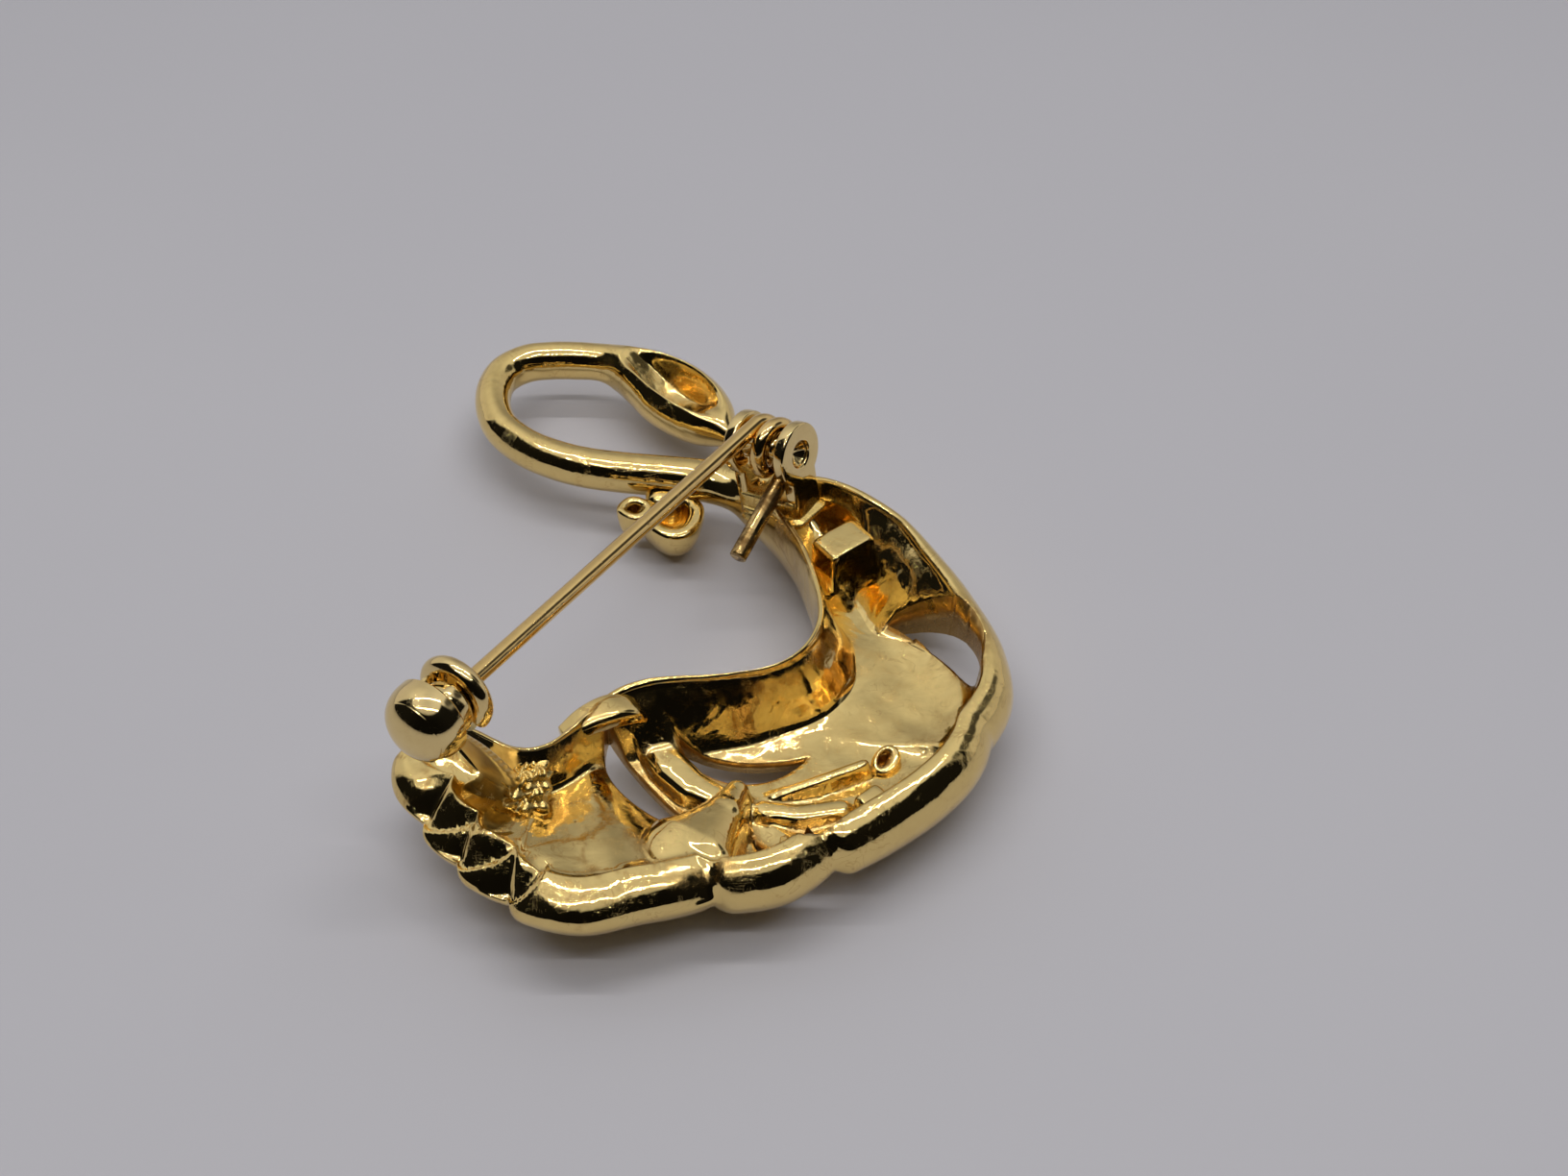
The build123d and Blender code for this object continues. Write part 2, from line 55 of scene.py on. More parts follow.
head_width, head_depth, head_middle = 4.4, 3.6, 3.1

HEAD = [
    # across, along, width, depth, hollow
    (0.521, 0.810, 0.14, 0.20, 0.0),
    (0.508, 0.823, 0.34, 0.45, 0.0),
    (0.482, 0.847, 0.72, 0.80, 0.2),
    (0.445, 0.877, 0.96, 0.96, 0.8),
    (0.402, 0.908, 1.00, 1.00, 0.9),
    (0.355, 0.938, 0.80, 0.96, 0.5),
    (0.312, 0.959, 0.56, 0.85, 0.0),
]

NECK = [
    # across, along, width, depth
    (0.265, 0.971, 1.02, 1.00),
    (0.217, 0.975, 1.00, 1.00),
    (0.170, 0.975, 1.00, 1.00),
    (0.124, 0.969, 1.00, 1.00),
    (0.086, 0.948, 1.00, 1.00),
    (0.069, 0.917, 1.00, 1.00),
    (0.070, 0.877, 1.00, 1.00),
    (0.091, 0.834, 1.00, 1.00),
    (0.135, 0.798, 1.02, 1.00),
    (0.187, 0.774, 1.05, 1.00),
    (0.250, 0.756, 1.08, 1.00),
    (0.327, 0.745, 1.10, 1.00),
    (0.413, 0.737, 1.12, 1.00),
    (0.480, 0.728, 1.16, 1.03),
    (0.533, 0.712, 1.24, 1.08),
]

BODY = [
    # outer across, outer along, inner across, inner along, back, front, hollow, bar
    (0.587, 0.730, 0.553, 0.661, 0.90, 0.18, 0.00, 0.80),
    (0.640, 0.706, 0.597, 0.615, 0.95, 0.12, 0.30, 0.40),
    (0.703, 0.688, 0.632, 0.561, 0.98, 0.06, 0.85, 0.10),
    (0.768, 0.658, 0.654, 0.505, 1.00, 0.02, 1.00, 0.00),
    (0.836, 0.610, 0.667, 0.457, 1.00, 0.00, 1.00, 0.00),
    (0.900, 0.541, 0.663, 0.419, 1.00, 0.00, 1.00, 0.00),
    (0.952, 0.467, 0.643, 0.385, 1.00, 0.00, 1.00, 0.00),
    (0.986, 0.399, 0.610, 0.360, 1.00, 0.00, 1.00, 0.00),
    (0.990, 0.328, 0.567, 0.346, 1.00, 0.00, 1.00, 0.00),
    (0.940, 0.258, 0.520, 0.341, 1.00, 0.00, 1.00, 0.00),
    (0.866, 0.189, 0.477, 0.339, 1.00, 0.00, 1.00, 0.00),
    (0.778, 0.136, 0.433, 0.339, 1.00, 0.00, 1.00, 0.00),
    (0.690, 0.095, 0.390, 0.336, 1.00, 0.00, 1.00, 0.00),
    (0.600, 0.063, 0.350, 0.326, 1.00, 0.00, 1.00, 0.00),
    (0.507, 0.051, 0.320, 0.309, 1.00, 0.03, 1.00, 0.00),
    (0.410, 0.038, 0.297, 0.288, 1.00, 0.09, 1.00, 0.00),
    (0.313, 0.018, 0.277, 0.266, 1.00, 0.16, 1.00, 0.00),
    (0.230, 0.033, 0.253, 0.246, 1.00, 0.23, 1.00, 0.00),
    (0.160, 0.069, 0.227, 0.236, 1.00, 0.30, 1.00, 0.00),
    (0.103, 0.106, 0.197, 0.236, 1.00, 0.36, 1.00, 0.00),
    (0.057, 0.152, 0.167, 0.246, 1.00, 0.41, 1.00, 0.00),
    (0.020, 0.196, 0.137, 0.261, 0.98, 0.46, 0.90, 0.10),
    (0.013, 0.234, 0.100, 0.273, 0.95, 0.52, 0.50, 0.30),
    (0.035, 0.259, 0.073, 0.273, 0.86, 0.60, 0.00, 0.80),
]

# Rows of BODY at which two feathers meet, so that the outline and the front are notched. Each feather swells
# out and is tucked under the one before it. In the tail they lie aslant.
NOTCHES = [8.8, 11.9, 13.9, 17.4, 18.7, 19.9, 22.6]
lobe_swell = 0.55
tuck_length = 3.2

# Bars and ridges that stand on the floor of the shell, with the height of their tops
RAISED = [
    # from across, from along, to across, to along, half width from, half width to, top from, top to
    (0.400, 0.290, 0.432, 0.256, 0.95, 1.05, 3.1, 3.1),
    (0.432, 0.256, 0.468, 0.230, 1.05, 1.00, 3.1, 2.9),
    (0.468, 0.230, 0.510, 0.214, 1.00, 0.80, 2.9, 2.7),
    (0.585, 0.196, 0.640, 0.186, 0.62, 0.70, 2.6, 2.8),
    (0.640, 0.186, 0.706, 0.196, 0.70, 0.62, 2.8, 2.7),
    (0.600, 0.222, 0.665, 0.233, 0.34, 0.42, 2.2, 2.7),
    (0.665, 0.233, 0.745, 0.256, 0.42, 0.42, 2.7, 2.9),
    (0.541, 0.210, 0.520, 0.172, 0.75, 1.30, 3.5, 4.0),
    (0.520, 0.172, 0.480, 0.125, 1.30, 2.40, 4.0, 4.6),
]


def along_rows(rows, places):
    """Rows at any places of a table: a cubic between each two rows, whose slope at a row is half the step
    between that row's neighbours."""
    rows = np.asarray(rows, float)
    ends = np.vstack([2 * rows[0] - rows[1], rows, 2 * rows[-1] - rows[-2]])
    slope = (ends[2:] - ends[:-2]) / 2
    i = np.clip(np.floor(places).astype(int), 0, len(rows) - 2)
    u = (places - i)[:, None]
    return ((2 * u**3 - 3 * u**2 + 1) * rows[i] + (u**3 - 2 * u**2 + u) * slope[i]
            + (3 * u**2 - 2 * u**3) * rows[i + 1] + (u**3 - u**2) * slope[i + 1])


def bar_rows(table, width, depth, middle, hollow):
    """Rows like BODY's from a bar's middle line: the edges are half the width to each side of the line."""
    table = np.asarray(table, float)
    line = table[:, :2] * swan_size
    along = np.gradient(line, axis=0)
    side = np.c_[-along[:, 1], along[:, 0]] / np.linalg.norm(along, axis=1)[:, None]
    half, reach = table[:, 2:3] * width / 2, table[:, 3] * depth / 2
    return np.c_[line + side * half, line - side * half, middle + reach, middle - reach, hollow,
                 np.ones(len(table))]


def smooth(low, high, value):
    """0 below low, 1 above high and an S-curve between them."""
    t = np.clip((value - low) / (high - low), 0, 1)
    return t * t * (3 - 2 * t)


def capsule(x, y, ax, ay, bx, by, half_a, half_b):
    """Where a point is beside a line from a to b: its share of the way, and its distance as a share of the
    half width there."""
    share = np.clip(((x - ax) * (bx - ax) + (y - ay) * (by - ay)) / ((bx - ax)**2 + (by - ay)**2), 0, 1)
    away = np.hypot(x - ax - share * (bx - ax), y - ay - share * (by - ay))
    return share, away / (half_a + (half_b - half_a) * share)


def relief(x, y, floor):
    """The floor with its raised lines, and how deep in the foot of a line a point lies, used to paint shade
    in the crease there. A line's rise over the floor falls as the root of one less the cube of the distance
    over the half width. The highest rise counts."""
    rise, foot = np.zeros_like(x), np.zeros_like(x)
    for ax, ay, bx, by, half_a, half_b, top_a, top_b in RAISED:
        ends = np.array([ax, ay, bx, by]) * np.tile(swan_size, 2)
        share, away = capsule(x, y, *ends, half_a, half_b)
        over = np.clip(top_a + (top_b - top_a) * share - floor, 0, 9)
        rise = np.maximum(rise, over * np.sqrt(1 - np.clip(away, 0, 1)**3))
        foot = np.maximum(foot, np.exp(-((away - 1.1) / 0.3)**2) * (over > 0.4))
    return floor + rise, foot * (1 - smooth(0.2, 0.6, rise))


def waves(x, y):
    """Slow unevenness of a hand-finished surface, from -1 to 1: three sines whose phases bend each other."""
    first = np.sin(1.15 * x + 0.6 * np.sin(0.8 * y + 1.0))
    second = np.sin(1.6 * y - 0.7 * x + 0.9 * np.sin(1.1 * x + 2.0))
    return 0.4 * first + 0.35 * second + 0.25 * np.sin(2.4 * x + 1.9 * y + 1.5 * np.sin(0.5 * y))


neck_steps, body_steps = 8, 15
columns = 100
head = bar_rows(HEAD, head_width, head_depth, head_middle, np.array(HEAD)[:, 4])
neck = bar_rows(NECK, neck_width, neck_depth, neck_middle, np.zeros(len(NECK)))
body = np.array(BODY) * (*swan_size, *swan_size, rim_height, rim_height, 1, 1)
table = np.vstack([head, neck, body])
first_body = len(head) + len(neck)
places = np.r_[np.arange(0, first_body, 1 / neck_steps),
               np.arange(first_body, len(table) - 1, 1 / body_steps), len(table) - 1]
rows = along_rows(table, places)
row = places - first_body
outer, inner = rows[:, 0:2], rows[:, 2:4]
width = np.linalg.norm(outer - inner, axis=1)
along_edge = np.r_[0, np.cumsum(np.linalg.norm(np.diff(outer, axis=0), axis=1))]
notch_at = np.interp(NOTCHES, row, along_edge)


def from_notches(place):
    """How far a place along the edge is past the notch before it, and short of the notch after it."""
    after = np.clip(np.searchsorted(notch_at, place), 1, len(notch_at) - 1)
    return place - notch_at[after - 1], notch_at[after] - place


past, short = from_notches(along_edge)
tucked = np.clip(1 - past / tuck_length, 0, 1)**2
rounded = np.sqrt(np.clip(1 - np.clip(1 - short / 0.8, 0, 1)**2, 0, 1))
swell = lobe_swell * (1 - tucked) * rounded * ((row > NOTCHES[0]) & (row < NOTCHES[-1]))
groove = np.clip(1 - np.minimum(past, short) / 1.2, 0, 1)**2
outer = outer + (outer - inner) / width[:, None] * swell[:, None]
width = width + swell
back, front = rows[:, 4:5], rows[:, 5:6]
hollow, bar = np.clip(rows[:, 6:7], 0, 1), np.clip(rows[:, 7:8], 0, 1)
tail_lobes = (smooth(16, 18, row) * (1 - smooth(21, 23, row)))[:, None]
middle = front + (back - front) * (0.6 - 0.1 * bar - 0.15 * tail_lobes)

# Over each rim a section goes up a wide outer roll, over a small inner roll and down the wall behind it. A
# body column is given by how far round the outer roll it is, how far round the inner one, its share of the
# wall's run and how far down the wall. The rolls and the runs change along the body.
RIMS = [
    # row, outer roll, bay roll, inner roll, outer run, bay run, outer crest lower by
    (0, 0.60, 0.60, 0.35, 0.5, 0.5, 0.0),
    (2, 0.60, 0.50, 0.30, 1.6, 0.7, 0.0),
    (4, 0.80, 0.42, 0.30, 4.0, 1.4, 0.0),
    (5, 1.00, 0.42, 0.30, 3.2, 1.9, 0.0),
    (5.6, 1.05, 0.42, 0.30, 2.1, 2.1, 0.0),
    (6.2, 1.15, 0.42, 0.30, 1.3, 2.4, 0.0),
    (7, 1.25, 0.42, 0.30, 0.9, 2.6, 0.0),
    (8, 1.50, 0.42, 0.30, 0.8, 2.8, 0.1),
    (10, 1.60, 0.42, 0.30, 0.8, 2.8, 0.3),
    (12, 1.60, 0.42, 0.30, 0.9, 2.6, 0.5),
    (14, 1.70, 0.55, 0.25, 1.0, 1.5, 0.7),
    (16, 2.00, 0.65, 0.12, 0.6, 1.3, 0.7),
    (18, 2.10, 0.60, 0.10, 0.5, 1.2, 0.5),
    (20, 2.10, 0.50, 0.10, 0.5, 1.0, 0.5),
    (23, 1.20, 0.50, 0.20, 0.5, 0.6, 0.6),
]
rims = np.array(RIMS, float)
rims = np.array([np.interp(row, rims[:, 0], rims[:, k]) for k in range(1, 7)])[:, :, None]
outer_roll, bay_roll, inner_roll, outer_run, bay_run, crest_low = rims
fit = np.minimum(1, 0.55 * width[:, None] / (outer_roll + inner_roll + outer_run))
outer_roll, bay_roll, inner_roll, outer_run, bay_run = (fit * r for r in (outer_roll, bay_roll, inner_roll,
                                                                          outer_run, bay_run))
out_turn = np.linspace(0, math.pi / 2, 13)
in_turn = np.linspace(0, math.radians(80), 7)[1:]
out_share = np.r_[1 - np.cos(out_turn), np.ones(14)]
out_rise = np.r_[np.sin(out_turn), np.ones(14)]
in_share = np.r_[np.zeros(13), np.sin(in_turn), np.full(8, np.sin(in_turn[-1]))]
in_drop = np.r_[np.zeros(13), 1 - np.cos(in_turn), np.full(8, 1 - np.cos(in_turn[-1]))]
run_share = np.r_[np.zeros(19), 0.08, 0.17, 0.28, 0.40, 0.54, 0.70, 0.85, 1.0]
outer_down = np.r_[np.zeros(19), 0.22, 0.42, 0.60, 0.75, 0.87, 0.95, 0.985, 1.0]
bay_down = np.r_[np.zeros(19), 0.08, 0.17, 0.29, 0.42, 0.57, 0.75, 0.91, 1.0]
sides = len(out_share)
near_outer = outer_roll * out_share + inner_roll * in_share + outer_run * run_share
near_bay = width[:, None] - (bay_roll * out_share + inner_roll * in_share + bay_run * run_share)[:, ::-1]
floor_places = np.linspace(near_outer[:, -1], near_bay[:, 0], columns + 2 - 2 * sides, axis=1)[:, 1:-1]
body_share = np.hstack([near_outer, floor_places, near_bay]) / width[:, None]
middle_columns = columns - 2 * sides


def both_sides(values, between):
    """The values of one side's columns, a constant between, and the same values mirrored."""
    return np.r_[values, np.full(middle_columns, float(between)), values[::-1]]


out_rise, in_drop, out_share = both_sides(out_rise, 1), both_sides(in_drop, 0), both_sides(out_share, 1)
down_wall = np.r_[outer_down, np.ones(middle_columns), bay_down[::-1]]
straight_down = both_sides(bay_down, 1)
share = bar * (1 - np.cos(np.linspace(0, math.pi, columns))) / 2 + (1 - bar) * body_share
edge = np.minimum(share, 1 - share) * width[:, None]
x = outer[:, :1] + (inner - outer)[:, :1] * share
y = outer[:, 1:] + (inner - outer)[:, 1:] * share


def shoulder(edge, radius):
    """0 at an edge, rising on a quarter circle to 1 at the radius and beyond."""
    return np.sqrt(np.clip(1 - np.clip(1 - edge / radius, 0, 1)**2, 0, 1))


low_round = np.minimum(front_round, width[:, None] / 2) * (1 - bar) + width[:, None] / 2 * bar
front_z = middle - (middle - front) * shoulder(edge, low_round)
fade = (1 - smooth(0.05, 0.75, share)) * smooth(0, 1.2, share * width[:, None])
front_z = front_z + 0.35 * groove[:, None] * fade * (1 - bar)
outer_half = np.arange(columns) < columns / 2
crest = back - crest_low * (1 - smooth(0.15, 0.75, share))
from_edge = share * width[:, None]
slant = 0.5 + 1.3 * smooth(16, 17.8, row)[:, None]
past, short = from_notches(along_edge[:, None] + slant * from_edge)
valley = np.clip(1 - past / tuck_length, 0, 1)**2 * smooth(0, 0.45, past) * (past > 0)
valley = valley * (1 - smooth(1.2, 3.2, from_edge))
valley = valley * (smooth(10, 11.5, row) * (row < NOTCHES[-1]))[:, None]
tail = smooth(12, 15.5, row)[:, None]
dish = back - crest_low - 0.15 - (2.0 - crest_low) * smooth(0.1, 0.9, share)
floor_z = np.maximum(front_z + floor_thick, tail * dish) + 0.05 * waves(x, y)
floor_z, foot = relief(x, y, floor_z)
# Thin lines along the waves of the tail floor, which are coloured dull brown.
tail_wave_lines = np.exp(-(waves(0.55 * x + 3, 0.8 * y) / 0.035)**2) * smooth(14, 16, row)[:, None]
straight_rise = np.where(outer_half & (out_share < 1), 0.12 + 0.88 * out_share, out_rise)
chamfered = 0.75 * (smooth(16, 18, row) * (1 - smooth(19.8, 20.8, row)))[:, None]
solid_z = middle + (crest - middle) * (out_rise + chamfered * (straight_rise - out_rise))
wall_top = solid_z - inner_roll * in_drop
sloped = (smooth(2.5, 3.5, row) * (1 - smooth(5.8, 6.8, row)))[:, None]
down_wall = down_wall + sloped * (straight_down - down_wall)
rim_z = wall_top * (1 - down_wall) + np.minimum(floor_z, crest + 0.1) * down_wall
body_z = solid_z + hollow * (rim_z - solid_z)
body_z = body_z - np.minimum((0.30 + 0.50 * tail) * valley, 0.8 * (body_z - middle).clip(0)) * hollow
bar_top = middle + (back - middle) * shoulder(edge, width[:, None] / 2)
dip = smooth(0, 0.7, edge - 0.16 * width[:, None]) * hollow
bar_z = bar_top - dip * (bar_top - np.minimum(front_z + 0.9, bar_top))
back_z = bar * bar_z + (1 - bar) * body_z
back_z[:, [0, -1]] = front_z[:, [0, -1]] = middle

# Crescents cut right through the floor, each between two arcs from tip to tip. The floor is thinner there.
edge_thick = 0.75
OPENINGS = [
    # tip across, tip along, far across, far along, tip across, tip along, near across, near along
    (0.788, 0.488, 0.903, 0.466, 0.930, 0.350, 0.868, 0.436),
    (0.445, 0.290, 0.545, 0.272, 0.658, 0.284, 0.545, 0.242),
    (0.333, 0.286, 0.397, 0.237, 0.470, 0.183, 0.357, 0.208),
    (0.563, 0.168, 0.645, 0.131, 0.727, 0.168, 0.647, 0.112),
]


def arc(start, through, end, count=28):
    """Points on the circle through three points, from the first to the last, without the last."""
    a, b, c = (complex(*p) for p in (start, through, end))
    w = (c - a) / (b - a)
    centre = a + (b - a) * (w - abs(w)**2) / (2j * w.imag)
    sweep = np.angle((c - centre) / (a - centre))
    if np.angle((b - centre) / (a - centre)) * sweep < 0:
        sweep -= math.copysign(2 * math.pi, sweep)
    z = centre + (a - centre) * np.exp(1j * sweep * np.arange(count) / count)
    return np.c_[z.real, z.imag]


def outline_place(x, y, outline):
    """Whether each point is inside a closed outline, and the nearest point on it."""
    ends = np.roll(outline, -1, axis=0)
    inside = np.zeros(x.shape, bool)
    best = np.full(x.shape, 1e9)
    near_x, near_y = x.copy(), y.copy()
    for (ax, ay), (bx, by) in zip(outline, ends):
        crosses = (ay > y) != (by > y)
        inside ^= crosses & (x < ax + (y - ay) * (bx - ax) / (by - ay if by != ay else 1e-9))
        share, _ = capsule(x, y, ax, ay, bx, by, 1, 1)
        on_x, on_y = ax + share * (bx - ax), ay + share * (by - ay)
        away = np.hypot(x - on_x, y - on_y)
        closer = away < best
        best = np.where(closer, away, best)
        near_x, near_y = np.where(closer, on_x, near_x), np.where(closer, on_y, near_y)
    return inside, best, near_x, near_y


def sampled(grid, i, c):
    """A grid's values at fractional places, by straight lines between its points."""
    i, c = np.clip(i, 0, grid.shape[0] - 1.001), np.clip(c, 0, grid.shape[1] - 1.001)
    low_i, low_c = i.astype(int), c.astype(int)
    u, v = i - low_i, c - low_c
    return ((1 - u) * ((1 - v) * grid[low_i, low_c] + v * grid[low_i, low_c + 1])
            + u * ((1 - v) * grid[low_i + 1, low_c] + v * grid[low_i + 1, low_c + 1]))


# The cells inside an outline are left out. The points round them are drawn along the grid onto the outline,
# and their neighbours follow, a little less each.
cut = np.zeros((len(x) - 1, columns - 1), bool)
cut_edge = np.full(x.shape, 9.0)
held = np.zeros(x.shape, bool)
shift = np.zeros((2, *x.shape))
x_i, x_c = np.gradient(x)
y_i, y_c = np.gradient(y)
for tips in OPENINGS:
    p = np.array(tips).reshape(4, 2) * swan_size
    outline = np.vstack([arc(p[0], p[1], p[2]), arc(p[2], p[3], p[0])])
    centre_x = (x[1:, 1:] + x[:-1, 1:] + x[1:, :-1] + x[:-1, :-1]) / 4
    centre_y = (y[1:, 1:] + y[:-1, 1:] + y[1:, :-1] + y[:-1, :-1]) / 4
    here = outline_place(centre_x, centre_y, outline)[0]
    cut |= here
    padded = np.pad(here, 1)
    around = np.stack([padded[1:, 1:], padded[:-1, 1:], padded[1:, :-1], padded[:-1, :-1]])
    border = around.any(axis=0) & ~around.all(axis=0)
    inside, away, near_x, near_y = outline_place(x, y, outline)
    cut_edge = np.minimum(cut_edge, away)
    area = x_i * y_c - x_c * y_i
    move_i = ((near_x - x) * y_c - (near_y - y) * x_c) / area
    move_c = ((near_y - y) * x_i - (near_x - x) * y_i) / area
    shift = np.where(border, np.clip([move_i, move_c], -1.2, 1.2), shift)
    held |= border
for _ in range(14):
    mean = sum(np.roll(shift, step, axis) for step in (-1, 1) for axis in (1, 2)) / 4
    shift = np.where(held, shift, 0.93 * mean)
spare = np.clip(np.minimum(back_z - front_z, floor_thick) - edge_thick, 0, 9)
front_z = front_z + spare * np.exp(-(cut_edge / 0.9)**2)
at_i, at_c = np.arange(len(x))[:, None] + shift[0], np.arange(columns) + shift[1]
x, y, back_z, front_z = (sampled(grid, at_i, at_c) for grid in (x, y, back_z, front_z))


def volume(points, faces):
    """Six times the volume inside a closed mesh: the sum over its triangles of a . (b x c)."""
    total = 0.0
    for f in faces:
        for k in range(1, f.shape[1] - 1):
            a, b, c = points[f[:, 0]], points[f[:, k]], points[f[:, k + 1]]
            total += np.einsum("ij,ij->", a, np.cross(b, c))
    return total


def piece(name, points, faces, material, body, nodes=(), finish="gold_plate_casting"):
    """A smooth mesh in the frame from points in millimetres and arrays of faces, turned to face outwards."""
    points = (np.asarray(points, float).reshape(-1, 3) + to_frame) / 1000
    faces = [np.asarray(f).reshape(-1, np.asarray(f).shape[-1]) for f in faces]
    if volume(points - points.mean(axis=0), faces) < 0:
        faces = [f[:, ::-1] for f in faces]
    mesh = bpy.data.meshes.new(name)
    mesh.from_pydata(points, [], [corners for f in faces for corners in f.tolist()])
    mesh.polygons.foreach_set("use_smooth", np.ones(len(mesh.polygons), bool))
    mesh.materials.append(material)
    made = bpy.data.objects.new(name, mesh)
    bpy.context.collection.objects.link(made)
    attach(made, body)
    if nodes:
        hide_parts(*nodes)
    return made


def spread(made, name, values):
    """Keeps one number per point of a mesh for its material."""
    kept_values = made.data.attributes.new(name, "FLOAT", "POINT").data
    kept_values.foreach_set("value", np.ravel(values).astype(np.float32))


class Value:
    """A value in a material. Arithmetic on values adds the Math nodes that work it out."""

    def __init__(self, tree, socket=None):
        self.tree, self.socket = tree, socket

    def node(self, kind, settings, *values, **named):
        """The first output of a new node: settings first, then its inputs in order or by name."""
        made = self.tree.nodes.new(kind)
        for key, value in settings.items():
            setattr(made, key, value)
        free = [s for s in made.inputs if s.enabled]
        by_name = ((made.inputs[key.replace("_", " ")], value) for key, value in named.items())
        for socket, value in [*zip(free, values), *by_name]:
            if isinstance(value, Value):
                self.tree.links.new(value.socket, socket)
            elif value is not None:
                socket.default_value = value
        return Value(self.tree, next((s for s in made.outputs if s.enabled), None))

    def math(self, operation, *values):
        return self.node("ShaderNodeMath", {"operation": operation}, *values)

    def __add__(self, other): return self.math("ADD", self, other)
    def __sub__(self, other): return self.math("SUBTRACT", self, other)
    def __mul__(self, other): return self.math("MULTIPLY", self, other)
    def __rsub__(self, other): return self.math("SUBTRACT", other, self)
    __radd__, __rmul__ = __add__, __mul__

    def step(self, low, high):
        """0 below low, 1 above high and an S-curve between."""
        curve = {"interpolation_type": "SMOOTHSTEP"}
        return self.node("ShaderNodeMapRange", curve, self, low, high, 0.0, 1.0)

    def stretched(self, x, y, z):
        return self.node("ShaderNodeVectorMath", {"operation": "MULTIPLY"}, self, (x, y, z))

    def noise(self, scale, detail=2.0, roughness=0.5, distortion=0.0):
        return self.node("ShaderNodeTexNoise", {}, self, scale, detail, roughness, 2.0, distortion)

    def mix(self, first, second):
        """This value as the share of the second colour in the first."""
        return self.node("ShaderNodeMix", {"data_type": "RGBA"}, self, first, second)


def gold(name, color=(0.93, 0.71, 0.29), dull=(0.42, 0.23, 0.06), shine=0.04, uneven=1.0, stains=0.4):
    """Gold plate: pale warm metal. Slow waves, a fine orange peel, thin scratches and small pits are bumps;
    where the stain_and_shade attribute is high and a noise agrees, it turns to the dull brown and roughens."""
    material = bpy.data.materials.new(name)
    material.use_nodes = True
    tree = material.node_tree
    tree.nodes.clear()
    start = Value(tree)
    place = start.node("ShaderNodeTexCoord", {})
    place = Value(tree, place.socket.node.outputs["Object"]).stretched(1000, 1000, 1000)
    # The stain_and_shade attribute holds real marks in some places and painted shade in hollows, creases and
    # openings in others.
    stain_and_shade = start.node("ShaderNodeAttribute", {"attribute_name": "stain_and_shade"})
    stain_and_shade = Value(tree, stain_and_shade.socket.node.outputs["Fac"])
    slow = place.noise(0.45, 2.0, 0.5, 0.6)
    peel = place.noise(3.4, 3.0, 0.55)
    cloud = place.noise(0.9, 4.0, 0.6, 0.8)
    hair = 0.0
    for stretch in ((9.0, 0.5, 2.0), (0.7, 11.0, 3.0), (6.0, -5.0, 1.0)):
        off_line = place.stretched(*stretch).noise(0.9, 1.0, 0.4, 0.3) - 0.5
        hair = hair + (1.0 - off_line.math("ABSOLUTE", off_line).step(0.0, 0.012)) * cloud.step(0.5, 0.62)
    pit = place.node("ShaderNodeTexVoronoi", {}, place, 0.9)
    pit = (1.0 - pit.step(0.03, 0.09)) * cloud.step(0.42, 0.55)
    off_vein = place.noise(0.55, 3.0, 0.55, 1.6) - 0.5
    vein = (1.0 - off_vein.math("ABSOLUTE", off_vein).step(0.004, 0.02)) * slow.step(0.45, 0.6)
    clouded = stain_and_shade * cloud.step(0.30, 0.62)
    brown = clouded.math("MAXIMUM", clouded, vein * stains)
    brown = brown.math("MAXIMUM", brown, pit * 0.8)
    tone = cloud.mix((*color, 1), (color[0] * 0.86, color[1] * 0.80, color[2] * 0.72, 1))
    base = (brown * 0.85).mix(tone, (*dull, 1))
    rough = shine + peel.step(0.45, 0.8) * 0.04 + brown * 0.28 + hair * 0.12
    lift = (slow * 0.8 + peel * 0.04 * uneven + cloud * 0.10 - hair * 0.02 - pit * 0.10) * uneven
    normal = start.node("ShaderNodeBump", {}, 0.5, 0.0002, Height=lift)
    shader = start.node("ShaderNodeBsdfPrincipled", {}, Base_Color=base, Metallic=1.0, Roughness=rough,
                        Normal=normal)
    start.node("ShaderNodeOutputMaterial", {}, shader)
    return material


count, around = len(x), 2 * columns - 2
ring = np.concatenate([np.stack([x, y, back_z], -1), np.stack([x, y, front_z], -1)[:, -2:0:-1]], axis=1)
back_index = np.arange(count)[:, None] * around + np.arange(columns)
front_index = np.arange(count)[:, None] * around + (around - np.arange(columns)) % around
front_index[:, -1] = back_index[:, -1]


def cells(index):
    """The four corners of each cell of a grid of point numbers."""
    return np.stack([index[:-1, :-1], index[:-1, 1:], index[1:, 1:], index[1:, :-1]], -1)


kept = ~cut
walls = []
for axis in (0, 1):
    full = np.pad(cut, [(1, 1) if a == axis else (0, 0) for a in (0, 1)])
    step = full[1:, :].astype(int) - full[:-1, :] if axis == 0 else full[:, 1:].astype(int) - full[:, :-1]
    for sign in (-1, 1):
        i, j = np.nonzero(step == sign)
        k, l = (i, j + 1) if axis == 0 else (i + 1, j)
        one = np.stack([back_index[i, j], back_index[k, l], front_index[k, l], front_index[i, j]], -1)
        walls.append(one if (sign > 0) == (axis == 0) else one[:, ::-1])
walls = np.concatenate(walls)
caps = []
for at, turned in ((0, 1), (count - 1, -1)):
    hub = count * around + len(caps)
    edge_points = at * around + np.arange(around)
    caps.append(np.stack([np.roll(edge_points, -1), edge_points, np.full(around, hub)], -1)[:, ::turned])
points = np.vstack([ring.reshape(-1, 3), ring[0].mean(axis=0), ring[-1].mean(axis=0)])
backs, fronts = cells(back_index)[kept], cells(front_index)[kept][:, ::-1]
metal = gold("swan_gold")
